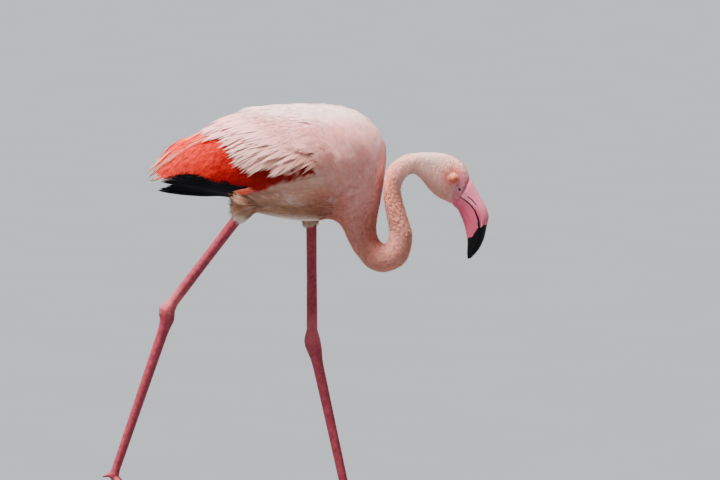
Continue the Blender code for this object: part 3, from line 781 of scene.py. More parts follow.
shells = [leg_shell(side) for side in SIDES]
for shell in shells:
    move_points(shell.data, relaxed(points_of(shell.data), edges_of(shell.data), 8, KEEP_SIZE))
written(shape_of(skin.data, *(shell.data for shell in shells)), skin.data)
for shell in shells:
    bpy.data.objects.remove(shell)
skin.data.shade_smooth()
body_count = len(body_points)
leg_count = len(skin.data.vertices) - body_count


def with_legs(values, leg_value):
    """The body's values, and one value for all of the legs."""
    shape = (leg_count,) if values.ndim == 1 else (leg_count, 3)
    return np.concatenate([values, np.broadcast_to(np.asarray(leg_value, float), shape)])


# The left thigh, on the far side, takes less of the pale thigh colour and keeps the darker belly
# colours: painted shade.
thigh_share_far_shaded = in_thigh * np.where(body_points[:, 1] > 0, 0.3, 0.9)
for name, values, leg_value in (
        ("reach", reach, 0.6), ("back", back, 0.0), ("bare", bare, 0.0),
        ("leg", np.zeros(body_count), 1.0), ("lie", lie, (0, 0, -1)),
        ("feather", feather * MM, 0.0), ("thigh", thigh_share_far_shaded, 0.0),
        *((cover, values, 0.0) for cover, values in covers.items()),
        ("bend", bend, (0, 0, 0)), ("pit", from_pit, 1.0), ("slit", from_slit, 1.0),
        ("fold", from_fold, 1.0), ("out", body_out, (0, -1, 0))):
    carry(skin.data, name, with_legs(values, leg_value))


ISLAND_ANGLE = 1.15
ISLAND_GAP = 0.003


def unwrapped(piece):
    """Lay the piece's surface out flat, as the map on which its feathers have their roots."""
    bpy.ops.object.select_all(action="DESELECT")
    piece.select_set(True)
    bpy.context.view_layer.objects.active = piece
    piece.data.uv_layers.new(name="root_map")
    bpy.ops.object.mode_set(mode="EDIT")
    bpy.ops.mesh.select_all(action="SELECT")
    bpy.ops.uv.smart_project(angle_limit=ISLAND_ANGLE, island_margin=ISLAND_GAP,
                             scale_to_bounds=True)
    bpy.ops.object.mode_set(mode="OBJECT")


unwrapped(skin)


def markings(finish):
    """The bird's body colours, alike on skin and feathers: by distance from the bill, by
    how far a place faces the back, and by height. Flank and belly hold painted shade as
    well as their own colours; the hollow before the leg is painted shade, and the breast's
    front a painted rim light."""
    reached, backward = finish.named("reach"), finish.named("back")
    ahead, sideward, high = finish.parts(finish.place)
    mottle = (finish.noise(finish.place, 26.0, 3.0, 0.6) - 0.5) * 0.5
    share = reached / MARKED_LENGTH
    nape = finish.node("ShaderNodeValToRGB", {"stops": NAPE_COLOURS}, share)
    throat = finish.node("ShaderNodeValToRGB", {"stops": THROAT_COLOURS}, share)
    neck = finish.blend(finish.span(backward + mottle, -0.8, 0.15), throat, nape)
    ripple = finish.span(finish.noise(finish.place, 150.0, 3.0, 0.65), 0.46, 0.66)
    neck = finish.tone(ripple * finish.span(share, 0.28, 0.5) * 0.6, neck, RIPPLE_TONE)
    for centre in eye_middles.values():
        away = finish.away(centre + Vector((-1, 0, 4)) * MM)
        neck = finish.blend(finish.span(away, *BLUSH_REACH) * 0.85, neck, BLUSH_COLOUR)
    breast = finish.span(ahead, *BREAST_PLACES) * finish.span(high, *BREAST_HEIGHTS)
    # A painted rim light along the breast's front edge.
    front = finish.span(ahead, *RIM_LIGHT_PLACES) * finish.span(high, *RIM_LIGHT_HEIGHTS)
    # By height, paler on top and darker down to the belly: own colours, with painted shade added
    # on flank and belly.
    trunk = finish.layered(
        BACK_COLOUR,
        (finish.span(high + mottle * 0.05, BACK_HEIGHT, TOP_HEIGHT), TOP_COLOUR),
        (finish.span(high + mottle * 0.08, BACK_HEIGHT, FLANK_HEIGHT), FLANK_COLOUR_AND_SHADE),
        (finish.span(high + mottle * 0.06, FLANK_HEIGHT, BELLY_HEIGHT), BELLY_COLOUR_AND_SHADE),
        (breast * 0.8, BREAST_COLOUR), (front * 0.85, FRONT_PAINTED_RIM_LIGHT))
    # Painted shade darkens the hollow between leg and breast.
    from_side = finish.node("ShaderNodeCombineXYZ", None, ahead, 0.0, high)
    away = finish.vector("DISTANCE", from_side, SHADED_HOLLOW)
    trunk = finish.tone(finish.span(away + mottle * 0.02, *SHADED_HOLLOW_REACH), trunk, HOLLOW_PAINTED_SHADE)
    flow = finish.node("ShaderNodeCombineXYZ", None, reached * 16.0, backward * 9.0,
                       sideward * 4.0)
    streak = finish.noise(flow, 1.6, 4.0, 0.65)
    trunk = finish.blend(finish.span(streak, 0.5, 0.75) * 0.5, trunk, STREAK_PALE)
    trunk = finish.tone(finish.span(streak, 0.5, 0.25) * 0.7, trunk, STREAK_WARM)
    trunk = finish.blend(finish.named("thigh"), trunk, THIGH_COLOUR)
    return finish.blend(finish.span(reached + mottle * 0.05, *TRUNK_START), neck, trunk)


MARKED_LENGTH = 0.36               # from the bill to the foot of the neck
TRUNK_START = (0.315, 0.38)
BLUSH_REACH = (26 * MM, 9 * MM)
BREAST_PLACES, BREAST_HEIGHTS = (0.02, 0.12), (0.745, 0.67)
# Where the painted rim light lies on the breast's front: places ahead, and heights.
RIM_LIGHT_PLACES, RIM_LIGHT_HEIGHTS = (0.105, 0.14), (0.59, 0.66)
# How far the painted shade of the hollow reaches: none at the first distance, full at the second.
SHADED_HOLLOW_REACH = (0.058, 0.015)
NAPE_COLOURS = [(0.0, (0.82, 0.38, 0.34)), (0.10, (1.0, 0.62, 0.55)), (0.22, (1.0, 0.78, 0.70)),
                (0.32, (1.0, 0.62, 0.52)), (0.40, (1.0, 0.38, 0.27)), (0.62, (1.0, 0.44, 0.35)),
                (0.82, (0.74, 0.29, 0.22)), (1.0, (0.92, 0.42, 0.38))]
THROAT_COLOURS = [(0.0, (0.76, 0.30, 0.19)), (0.12, (0.90, 0.50, 0.41)),
                  (0.3, (1.0, 0.64, 0.55)), (0.45, (0.90, 0.42, 0.32)),
                  (0.7, (0.86, 0.39, 0.30)), (0.85, (0.72, 0.31, 0.24)), (1.0, (0.76, 0.24, 0.16))]
BLUSH_COLOUR = (0.86, 0.30, 0.22)
RIPPLE_TONE = (0.74, 0.56, 0.50)
TOP_HEIGHT = 0.738
BACK_HEIGHT = 0.70
FLANK_HEIGHT = 0.60
BELLY_HEIGHT = 0.54
TOP_COLOUR = (0.98, 0.76, 0.69)
BACK_COLOUR = (1.0, 0.47, 0.43)
# Flank and belly colours: their own tan and pink, darkened by painted shade of the underside.
FLANK_COLOUR_AND_SHADE = (0.80, 0.42, 0.31)
BREAST_COLOUR = (0.98, 0.44, 0.41)
# Pale colour of the painted rim light on the breast's front edge.
FRONT_PAINTED_RIM_LIGHT = (1.0, 0.70, 0.70)
BELLY_COLOUR_AND_SHADE = (0.38, 0.185, 0.095)
SHADED_HOLLOW = (0.052, 0.0, 0.560)       # middle of the painted shade in the hollow between leg and breast
HOLLOW_PAINTED_SHADE = (0.84, 0.58, 0.55)
STREAK_PALE = (1.0, 0.80, 0.72)
STREAK_WARM = (0.94, 0.70, 0.66)
THIGH_COLOUR = (1.0, 0.84, 0.72)
FACE_COLOUR = (0.62, 0.13, 0.17)
FACE_PALE = (0.70, 0.24, 0.27)
LID_COLOUR = (0.56, 0.10, 0.05)
LID_RIM = (0.86, 0.34, 0.11)
EYE_SHADE = (0.62, 0.13, 0.10)
PIT_RING = (0.78, 0.36, 0.42)
# Painted shade in the pit before the eye and in the face's folds.
PIT_PAINTED_SHADE = (0.05, 0.015, 0.02)
FOLD_PAINTED_SHADE = (0.28, 0.035, 0.06)
HOCK_COLOUR = (0.66, 0.13, 0.15)
LEG_COLOUR = (0.275, 0.016, 0.038)
LEG_PALE = (0.46, 0.045, 0.076)

hocks = [max((v.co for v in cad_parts["tarsus_" + side].data.vertices), key=lambda p: p.z)
         for side in SIDES]


def leg_paint(finish):
    """Raspberry skin in small scales, paler at the hocks, with painted shade in the furrows
    between the scales; and how far a place is from the furrows."""
    blotch = finish.noise(finish.place, 160.0, 4.0, 0.6)
    paint = finish.blend(finish.span(blotch, 0.3, 0.7), LEG_COLOUR, LEG_PALE)
    for hock in hocks:
        near = finish.span(finish.away(hock), 40 * MM, 12 * MM)
        paint = finish.blend(near * 0.6, paint, HOCK_COLOUR)
    furrow = finish.node("ShaderNodeTexVoronoi", {"feature": "DISTANCE_TO_EDGE"},
                         Vector=finish.place, Scale=430.0)
    furrow = finish.span(furrow, 0.0, 0.14)
    # Painted shade darkens the furrows between the scales.
    return finish.tone((1 - furrow) * 0.5, paint, (0.6, 0.35, 0.4)), furrow


hide = Finish("skin")
patches = hide.noise(hide.place, 160.0, 4.0, 0.6)
fine = hide.noise(hide.place, 900.0, 2.0, 0.5)
face = hide.blend(hide.span(patches, 0.35, 0.65), FACE_COLOUR, FACE_PALE)


def ringed(face, around, far, near, share, colour):
    """A colour that grows over the face from far to near, in millimetres, round something."""
    return hide.blend(hide.span(hide.named(around), far * MM, near * MM) * share, face, colour)


face = ringed(face, "pit", 7, 3, 0.55, PIT_RING)
# Painted shade in the face's folds.
face = ringed(face, "fold", 1.0, 0.2, 0.42, FOLD_PAINTED_SHADE)
for centre in eye_middles.values():
    face = hide.blend(hide.span(hide.away(centre), 13 * MM, 7 * MM), face, EYE_SHADE)
face = ringed(face, "slit", 9, 4.5, 1.0, LID_COLOUR)
face = ringed(face, "slit", 3.0, 1.4, 0.8, LID_RIM)
# Painted shade in the pit.
face = ringed(face, "pit", 2.6, 1.5, 1.0, PIT_PAINTED_SHADE)
legs, furrows = leg_paint(hide)
hide.look(Base_Color=hide.layered(markings(hide), (hide.named("bare"), face),
                                  (hide.named("leg"), legs)), Roughness=0.6)
creased = hide.span(hide.named("fold"), 0.0, 1.6 * MM)
scaled = furrows * hide.named("leg")
hide.bump(patches * 0.6 + fine * 0.4 + creased * 0.6 + scaled * 0.6, 0.4 * MM, 0.6)
hide.wear(skin)
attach(skin, "root")
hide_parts(*FLESH_BEHIND, *FLESH_AHEAD,
            *(part + side for part in ("shank_", "tarsus_", "foot_") for side in SIDES))


# ---- Plumage of head, neck and body ------------------------------------------------
# Small feathers with loose, hairy edges grow all over the skin, each rooted in it and
# lying over the ones behind it. Head, neck and each side's mantle and flank are a piece each.


def meshed(name, bm):
    """A smooth mesh made of a shape, with its faces turned outwards."""
    bmesh.ops.recalc_face_normals(bm, faces=bm.faces)
    mesh = written(bm, bpy.data.meshes.new(name))
    mesh.shade_smooth()
    return mesh


def tuft_mesh(name, blades, stations):
    """A feather one unit long along X, made of flat blades, pointed at both ends.

    A blade's row: angle across, length, width, and place across the root. A station's row:
    share of the length, and share of the width.
    """
    bm = bmesh.new()
    vane = bm.verts.layers.float_vector.new("vane")
    for turn, length, width, side in blades:
        along = Vector((math.cos(turn), math.sin(turn), 0))
        flank = Vector((-along.y, along.x, 0))
        root = Vector((0, side, 0))
        rings = []
        for share, wide in ((0.0, 0.0), *stations, (1.0, 0.0)):
            middle = root + along * (length * share)
            half = flank * (width * wide / 2)
            ring = [middle]
            if wide:
                ring = [middle - half, middle + half, middle + Vector((0, 0, 0.2 * width * wide))]
            ring = [bm.verts.new(place) for place in ring]
            for vert in ring:
                vert[vane] = (length * share, vert.co.y, side)
            rings.append(ring)
        for near, far in zip(rings, rings[1:]):
            for i in range(3):
                j = (i + 1) % 3
                corners = (near[i % len(near)], near[j % len(near)],
                           far[j % len(far)], far[i % len(far)])
                bm.faces.new(dict.fromkeys(corners))
    mesh = meshed(name, bm)
    mesh.set_sharp_from_angle(angle=1.0)
    return bpy.data.objects.new(name, mesh)


def fan(count, turn, width, across, shorter):
    """Rows of blades for one feather, spread evenly to both sides of the longest."""
    rows = []
    for i in range(count):
        place = (i - (count - 1) / 2) / ((count - 1) / 2)
        wave = math.sin(i * 2.4) * 0.06
        length = 1 - shorter * place * place + wave - 0.06
        rows.append((turn * place, length, width, across * place))
    return rows


COAT_SOCKETS = {"Feather": "Object", "Cover": "String", "Spacing": "Float", "Lift": "Float",
                "Spread": "Float", "Seed": "Int", "Material": "Material"}
PATCH = 0.003                      # a feather's size on the map of its skin
CROWDING = 2.2                     # roots tried for each square of the spacing
LENGTH_RANGE = (0.8, 1.2)
WIDTH_RANGE = (0.85, 1.15)
ROLL_RANGE = (-0.12, 0.12)
LIFT_RANGE = (-1.3, -0.7)


def coat_tree():
    """Nodes that grow feathers on a surface which carries out, lie, bend, feather and a cover."""
    tree = bpy.data.node_groups.new("coat", "GeometryNodeTree")
    tree.interface.new_socket("Geometry", in_out="OUTPUT", socket_type="NodeSocketGeometry")
    for name, kind in {"Geometry": "Geometry", **COAT_SOCKETS}.items():
        tree.interface.new_socket(name, in_out="INPUT", socket_type="NodeSocket" + kind)
    graph = Graph(tree)
    entry = graph.node("NodeGroupInput")

    def attribute(kind, name):
        return graph.node("GeometryNodeInputNamedAttribute", {"data_type": kind}, Name=name)

    def chance(low, high, turn):
        seed = entry.out("Seed") + turn
        return graph.node("FunctionNodeRandomValue", None, Min=low, Max=high, Seed=seed)

    def stored(geometry, name, value, kind="FLOAT", domain="POINT"):
        return graph.node("GeometryNodeStoreNamedAttribute", {"data_type": kind, "domain": domain},
                          Geometry=geometry, Name=name, Value=value)

    spacing = entry.out("Spacing")
    points = graph.node("GeometryNodeDistributePointsOnFaces", {"distribute_method": "POISSON"},
                        Mesh=entry.out("Geometry"), Distance_Min=spacing,
                        Density_Max=CROWDING / (spacing * spacing),
                        Density_Factor=attribute("FLOAT", entry.out("Cover")),
                        Seed=entry.out("Seed"))
    points = stored(points, "tint", chance(0.0, 1.0, 1))
    points = stored(points, "long", attribute("FLOAT", "feather") * chance(*LENGTH_RANGE, 5))
    facing = graph.node("FunctionNodeAxesToRotation", {"primary_axis": "Z", "secondary_axis": "X"},
                        Primary_Axis=attribute("FLOAT_VECTOR", "out"),
                        Secondary_Axis=attribute("FLOAT_VECTOR", "lie"))
    lift = entry.out("Lift") * chance(*LIFT_RANGE, 2)
    spread = entry.out("Spread") * chance(-1.0, 1.0, 3)
    tilt = graph.node("ShaderNodeCombineXYZ", None, chance(*ROLL_RANGE, 4), lift, spread)
    turned = graph.node("FunctionNodeRotateRotation", {"rotation_space": "LOCAL"},
                        Rotation=facing,
                        Rotate_By=graph.node("FunctionNodeEulerToRotation", None, tilt))
    length = attribute("FLOAT", "long")
    width = length * chance(*WIDTH_RANGE, 6)
    size = graph.node("ShaderNodeCombineXYZ", None, length, width, length)
    shape = graph.node("GeometryNodeObjectInfo", None, Object=entry.out("Feather"))
    grown = graph.node("GeometryNodeInstanceOnPoints", None, Points=points,
                       Instance=shape.out("Geometry"), Rotation=turned, Scale=size)
    grown = graph.node("GeometryNodeRealizeInstances", None, grown)
    vane = attribute("FLOAT_VECTOR", "vane")
    out = graph.parts(vane)[0] * length
    bent = graph.vector("SCALE", Vector=attribute("FLOAT_VECTOR", "bend"), Scale=out * out)
    grown = graph.node("GeometryNodeSetPosition", None, Geometry=grown, Offset=bent)
    place = graph.vector("ADD", attribute("FLOAT_VECTOR", "root_map"),
                         graph.vector("SCALE", Vector=vane, Scale=PATCH))
    grown = stored(grown, "OFBake", place, "FLOAT2", "CORNER")
    grown = graph.node("GeometryNodeSetMaterial", None, Geometry=grown,
                       Material=entry.out("Material"))
    graph.node("NodeGroupOutput", None, grown)
    return tree


COAT = coat_tree()


def grow(name, ground, **inputs):
    """Grow a coat on a piece and keep it as a plain mesh of its own."""
    modifier = ground.modifiers.new(name, "NODES")
    modifier.node_group = COAT
    for socket in COAT.interface.items_tree:
        if socket.in_out == "INPUT" and socket.name in inputs:
            modifier[socket.identifier] = inputs[socket.name]
    graph = bpy.context.evaluated_depsgraph_get()
    mesh = bpy.data.meshes.new_from_object(ground.evaluated_get(graph))
    ground.modifiers.remove(modifier)
    mesh.name = name
    return linked(name, mesh)


TINT_TONE = (0.88, 0.78, 0.75)
TIP_COLOUR = (0.97, 0.90, 0.86)


def plumage_finish(name, paint, root_painted_shade, tip_light):
    """Matt barbs: painted shade darker at the root, paler at the tip, each feather a little
    different.
    """
    finish = Finish(name)
    out = finish.parts(finish.named("vane", "Vector"))[0]
    # Painted shade: the colour darkens towards each feather's root, under the feathers that
    # overlap it.
    shade = finish.blend(finish.span(out, 0.0, 0.8), root_painted_shade, (1, 1, 1))
    colour = finish.tone(1.0, paint(finish), shade)
    colour = finish.tone((1 - finish.named("tint")) * 0.4, colour, TINT_TONE)
    colour = finish.blend(finish.span(out, 0.6, 1.0) * tip_light, colour, TIP_COLOUR)
    finish.look(Base_Color=colour, Roughness=0.8, Specular_IOR_Level=0.12)
    return finish


ONE_RING = ((0.5, 1.0),)
TWO_RINGS = ((0.28, 0.85), (0.68, 0.9))
DOWN_TUFT = tuft_mesh("down_tuft", fan(5, math.radians(16), 0.13, 0.2, 0.2), ONE_RING)
NECK_TUFT = tuft_mesh("neck_tuft", fan(6, math.radians(14), 0.105, 0.19, 0.25), ONE_RING)
FLANK_TUFT = tuft_mesh("flank_tuft", fan(6, math.radians(5), 0.055, 0.12, 0.2), TWO_RINGS)
MANTLE_TUFT = tuft_mesh("mantle_tuft", fan(7, math.radians(4), 0.036, 0.085, 0.25), TWO_RINGS)
# The third value is the painted shade at the feathers' roots.
soft = plumage_finish("plumage", markings, (0.86, 0.76, 0.74), 0.15)

# Cover, feather, spacing in millimetres, lift and spread in degrees, seed.
COATS = {"head_down": ("head_cover", DOWN_TUFT, 1.35, 6, 9, 11),
         "neck_feathers": ("neck_cover", NECK_TUFT, 2.2, 5, 9, 12),
         "left_mantle_feathers": ("left_mantle", MANTLE_TUFT, 3.4, 2.5, 5, 13),
         "right_mantle_feathers": ("right_mantle", MANTLE_TUFT, 3.4, 2.5, 5, 14),
         "left_flank_feathers": ("left_flank", FLANK_TUFT, 3.3, 2.5, 6, 13),
         "right_flank_feathers": ("right_flank", FLANK_TUFT, 3.3, 2.5, 6, 14)}
for name, (cover, tuft, spacing, lift, spread, seed) in COATS.items():
    coat = grow(name, skin, Feather=tuft, Cover=cover, Spacing=spacing * MM,
                Lift=math.radians(lift), Spread=math.radians(spread), Seed=seed,
                Material=soft.material)
    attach(coat, "root")


# ---- Folded wings ------------------------------------------------------------------
# Each wing is a thin red bed of skin and down, sunk under its feathers. Deep red coverts
# cover it, paler towards the rear, and pale pointed scapulars hang over it from the back.
WING_SINK = 2.6 * MM
BED_THICKNESS = 1.2 * MM
EDGE_DIVE = 3.2 * MM               # the wing's top and front slip under the mantle
BODY_AXIS_HEIGHT = 0.5 * (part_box("trunk")[0].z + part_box("trunk")[1].z) + 30 * MM
LEAST_OUTWARD = 0.45
BED_FACING = 0.8                   # nothing grows on faces turned further ahead or back
DIVE_WIDTH = (2 * MM, 24 * MM)
DIVE_HEIGHTS = (0.57, 0.60)


def outward(place):
    """The way from the body's long axis to a place."""
    return Vector((0, place.y, place.z - BODY_AXIS_HEIGHT)).normalized()


def outer_bed(name, node, sink):
    """The outward side of a thin CAD shell, made smooth and moved inwards."""
    bed = gathered(name, [node])
    bm = shape_of(bed.data)
    inner = [face for face in bm.faces
             if face.normal.dot(outward(face.calc_center_median())) < LEAST_OUTWARD]
    bmesh.ops.delete(bm, geom=inner, context="FACES")
    bmesh.ops.join_triangles(bm, faces=bm.faces, angle_face_threshold=0.6,
                             angle_shape_threshold=1.2)
    for _ in range(2):
        bmesh.ops.subdivide_edges(bm, edges=bm.edges, cuts=1, use_grid_fill=True)
    bmesh.ops.triangulate(bm, faces=[face for face in bm.faces if len(face.verts) > 4])
    bm.verts.index_update()
    rim = [vert.index for vert in bm.verts if vert.is_boundary]
    written(bm, bed.data)
    points = relaxed(points_of(bed.data), edges_of(bed.data), 16, KEEP_SIZE)
    move_points(bed.data, points)
    from_rim = distances(rim, ways(bed.data, points))
    dive = 1 - ease(from_rim, *DIVE_WIDTH)
    dive *= ease(points[:, 2] + points[:, 0] * 0.4, *DIVE_HEIGHTS)
    points = points - normals_of(bed.data) * (sink + EDGE_DIVE * dive)[:, None]
    move_points(bed.data, points)
    return bed


# Where the red ends above the primaries.
COVERT_EDGE = [(-285, 585), (-263, 594), (-243, 596), (-232, 600), (-215, 606), (-191, 603),
               (-175, 596), (-140, 590), (-98, 588), (-80, 578), (0, 560)]
TOP_COVERT_SLOPE = math.radians(34)
LOW_COVERT_SLOPE = math.radians(64)
SCAPULAR_LIFT = math.radians(1.5)
COVERT_LIFT = math.radians(4)
LOW_COVERT_HEIGHTS = (0.585, 0.65)
REAR_COVERT_PLACES = (0.2, 0.27)
SCAPULAR_SIZES = (12 * MM, 80 * MM)
COVERT_SIZES = (8 * MM, 30 * MM)
PALE_DROP = 13 * MM                # the pale feathers start lower at the front
PALE_DROP_PLACES = (-0.01, 0.03)
PALE_FADE = (14 * MM, 20 * MM)
COVERTS_BELOW = 22 * MM
COVERT_DEEP = (0.34, 0.009, 0.009)
COVERT_RED = (0.64, 0.010, 0.007)
COVERT_SCARLET = (0.88, 0.024, 0.014)
COVERT_CORAL = (1.0, 0.056, 0.034)
COVERT_CREAM = (0.92, 0.56, 0.40)


def covert_paint(finish):
    """Deep red under the scapulars, coral on the rear, cream at the tips."""
    ahead, _, high = finish.parts(finish.place)
    patch = finish.noise(finish.place, 30.0, 3.0, 0.6)
    rearward = ahead + (patch - 0.5) * 0.07 + (high - 0.62) * -0.35
    return finish.layered(COVERT_DEEP, (finish.span(rearward, -0.07, -0.15), COVERT_RED),
                          (finish.span(rearward, -0.145, -0.185), COVERT_SCARLET),
                          (finish.span(rearward, -0.19, -0.24), COVERT_CORAL),
                          (finish.span(ahead, -0.266, -0.276), COVERT_CREAM))


def wing_paint(finish):
    """The wing's bed: covert colours darkened by painted shade of the gaps under the feathers, and
    the mantle's above them.
    """
    # Painted shade: the bed shows only in the gaps under the feathers.
    covert = finish.tone(1.0, covert_paint(finish), (0.6, 0.5, 0.5))
    return finish.blend(finish.named("pale"), covert, markings(finish))


LANCE = tuft_mesh("lance", fan(9, math.radians(-3.6), 0.03, 0.078, 0.2), TWO_RINGS)
BARBS = tuft_mesh("barbs", fan(7, math.radians(7), 0.05, 0.14, 0.2), TWO_RINGS)

bed_finish = Finish("wing_down")
bed_finish.look(Base_Color=wing_paint(bed_finish), Roughness=0.9)
bed_finish.bump(bed_finish.noise(bed_finish.place, 700.0, 2.0), 0.5 * MM, 0.5)
# The third values are the painted shade at the feathers' roots.
red = plumage_finish("red_coverts", covert_paint, (0.68, 0.5, 0.5), 0.0)
pale = plumage_finish("scapulars", markings, (0.6, 0.46, 0.44), 0.3)


def fitting(points, lie, edge, shortest, longest):
    """Feather lengths that keep the tips above a line, give or take a ragged edge."""
    lengths = np.full(len(points), shortest)
    x, z = points[:, 0], points[:, 2]
    ragged = np.sin(x * 410 + z * 130) * np.sin(x * 173 - z * 290)
    for length in np.arange(shortest, longest + MM, 4 * MM):
        tips = points + lie * length
        inside = tips[:, 2] > line_height(tips[:, 0], edge) + ragged * length * 0.12
        lengths[inside] = length
    return lengths


def bed_coat(name, bed, slopes, edge, sizes, clear, shown, **inputs):
    """Feathers of one kind on a wing's bed, which hang by a slope and end at a line."""
    points, edges = points_of(bed.data), edges_of(bed.data)
    normals = unit(relaxed(normals_of(bed.data), edges, 30))
    lie = flat_on(sloped(slopes), normals)
    lengths = fitting(points, lie, edge, *sizes)
    rests = resting(points, normals, lie, lengths, edges, tree_of(bed.data), clear)
    grows = shown & (lengths > sizes[0]) & (np.abs(normals[:, 0]) < BED_FACING)
    for key, values in zip(("lie", "out", "bend", "feather", "cover"), (*rests, lengths, grows)):
        carry(bed.data, key, values)
    return grow(name, bed, Cover="cover", **inputs)


for side in SIDES:
    bed = outer_bed("wing_bed_" + side, "wing_" + side, WING_SINK)
    points = points_of(bed.data)
    above = points[:, 2] - line_height(points[:, 0], PALE_EDGE) \
        + PALE_DROP * ease(points[:, 0], *PALE_DROP_PLACES)
    carry(bed.data, "reach", np.full(len(points), 0.5))
    carry(bed.data, "back", np.full(len(points), 0.8))
    carry(bed.data, "pale", ease(above, *PALE_FADE))
    unwrapped(bed)
    scapulars = bed_coat("scapulars_" + side, bed, scapular_slopes(points), PALE_EDGE,
                         SCAPULAR_SIZES, 3.2 * MM, True, Feather=LANCE, Spacing=3.6 * MM,
                         Lift=SCAPULAR_LIFT, Spread=math.radians(7), Seed=21,
                         Material=pale.material)
    lower = 1 - ease(points[:, 2], *LOW_COVERT_HEIGHTS)
    slopes = TOP_COVERT_SLOPE + (LOW_COVERT_SLOPE - TOP_COVERT_SLOPE) * lower
    slopes *= 1 - 0.45 * ease(-points[:, 0], *REAR_COVERT_PLACES)
    coverts = bed_coat("coverts_" + side, bed, slopes, COVERT_EDGE, COVERT_SIZES, 1.2 * MM,
                       above < COVERTS_BELOW, Feather=BARBS, Spacing=2.9 * MM, Lift=COVERT_LIFT,
                       Spread=math.radians(6), Seed=22, Material=red.material)
    thick = bed.modifiers.new("thickness", "SOLIDIFY")
    thick.thickness = BED_THICKNESS
    thick.offset = -1.0
    settle(bed)
    bed_finish.wear(bed)
    for piece in (bed, coverts, scapulars):
        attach(piece, "root")
    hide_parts("wing_" + side)


# ---- Flight feathers, tertials and tail --------------------------------------------
# The tips of the folded primaries show below the coverts: long stiff black vanes, each
# lying partly over the next. Coral tertials cover the rump; the tail is short and pale.
BLADE_STATIONS = 15
BLADE_OUTLINE = [(0, 0.6), (0.12, 0.9), (0.45, 1.0), (0.72, 0.9), (0.88, 0.62), (0.96, 0.32),
                 (1, 0.05)]
BLADE_SECTION = [(-1, -0.3), (-0.55, 0.45), (-0.08, 0.75), (0, 1.25), (0.08, 0.75),
                 (0.55, 0.45), (1, -0.3), (0.5, -0.45), (-0.5, -0.45)]
BLADE_THICKNESS = 0.9 * MM
GOLDEN = 0.618                     # spreads the tints evenly


def outer_faces(nodes):
    """A search tree over CAD shells."""
    shell = gathered("shell", nodes)
    tree = tree_of(shell.data)
    bpy.data.objects.remove(shell)
    return tree


def on_flank(tree, x, z, sign):
    """Where the flank's outside is at a side-view place, and which way it faces."""
    hit, facing, _, _ = tree.ray_cast(Vector((x, sign * 0.3, z)), Vector((0, -sign, 0)))
    if hit is None:
        hit, facing, _, _ = tree.find_nearest(Vector((x, sign * 0.02, z)))
        facing = Vector((0, sign, 0))
        hit = Vector((x, hit.y, z))
    return hit, facing


def blades(name, rows, finish):
    """Long feathers as closed vanes. A row: points along the shaft, outward directions at
    them, and width."""
    bm = bmesh.new()
    vane = bm.verts.layers.float_vector.new("vane")
    tint = bm.verts.layers.float.new("tint")
    shares, wides = zip(*BLADE_OUTLINE)
    for number, (shaft, facings, width) in enumerate(rows):
        loops = []
        for i, (middle, facing) in enumerate(zip(shaft, facings)):
            share = i / (len(shaft) - 1)
            wide = float(np.interp(share, shares, wides)) * width
            ahead = shaft[min(i + 1, len(shaft) - 1)] - shaft[max(i - 1, 0)]
            across = facing.cross(ahead).normalized()
            loop = []
            for side, rise in BLADE_SECTION:
                lift = rise * BLADE_THICKNESS * (0.35 + 0.65 * wide / width)
                vert = bm.verts.new(middle + across * (side * wide / 2) + facing * lift)
                vert[vane] = (share, side, 0)
                vert[tint] = (number * GOLDEN) % 1.0
                loop.append(vert)
            loops.append(loop)
        for near, far in zip(loops, loops[1:]):
            for i in range(len(near)):
                j = (i + 1) % len(near)
                bm.faces.new((near[i], near[j], far[j], far[i]))
        bm.faces.new(loops[0])
        bm.faces.new(loops[-1])
    piece = linked(name, meshed(name, bm))
    finish.wear(piece)
    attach(piece, "root")
    return piece


def evened(items):
    """Each item but the first and the last, mixed with its neighbours."""
    return [a + b * 2 + c for a, b, c in zip(items, items[1:], items[2:])]


def flank_row(tree, row, sign):
    """A blade that follows the flank from root to tip, with its shaft sagging a little."""
    root_x, root_z, tip_x, tip_z, sag, root_off, tip_off, width = row
    shaft, facings = [], []
    for i in range(BLADE_STATIONS):
        share = i / (BLADE_STATIONS - 1)
        x = (root_x + (tip_x - root_x) * share) * MM
        z = (root_z + (tip_z - root_z) * share - sag * 4 * share * (1 - share)) * MM
        place, facing = on_flank(tree, x, z, sign)
        shaft.append(place + facing * ((root_off + (tip_off - root_off) * share) * MM))
        facings.append(facing)
    for _ in range(3):
        shaft[1:-1] = [mixed / 4 for mixed in evened(shaft)]
        facings[1:-1] = [mixed.normalized() for mixed in evened(facings)]
    return shaft, facings, width * MM


# Root x and z, tip x and z, sag, offsets from the flank at root and tip, width: millimetres.
PRIMARIES = [
    (-112, 570, -267, 567.5, 1, -1.0, 0.0, 10), (-114, 573, -263, 571.5, 1, -0.7, 0.4, 10.5),
    (-106, 578, -252, 576, 1, -0.4, 0.6, 10.5), (-99, 582, -243, 580, 1, -0.1, 0.8, 10.5),
    (-94, 585, -262, 584.5, 1, 0.1, 0.8, 10.5), (-96, 588, -252, 588.5, 1, 0.3, 0.6, 10.5),
    (-130, 592, -242, 592.5, 1, 0.4, 0.4, 10.5), (-133, 595, -234, 597, 1, 0.4, 0.0, 10.5),
]
TERTIALS = [(-138, 700 - 2.2 * i, x, z, -rise, 1.0, 1.2, 4.6) for i, (x, z, rise) in enumerate([
    (-262, 622, 14), (-290, 596, 21), (-250, 638, 12), (-284, 601, 20), (-238, 650, 9),
    (-279, 600, 17), (-286, 590, 18), (-266, 612, 14), (-281, 592, 17), (-258, 612, 12)])]
TONGUE = [(-58, 596, -104, 584, 0, 0.4, 1.0, 9), (-60, 590, -124, 579, 0, 0.8, 1.4, 9),
          (-64, 586, -134, 574, 0, 1.2, 1.6, 9), (-70, 581, -128, 569, 0, 0.8, 1.2, 8)]

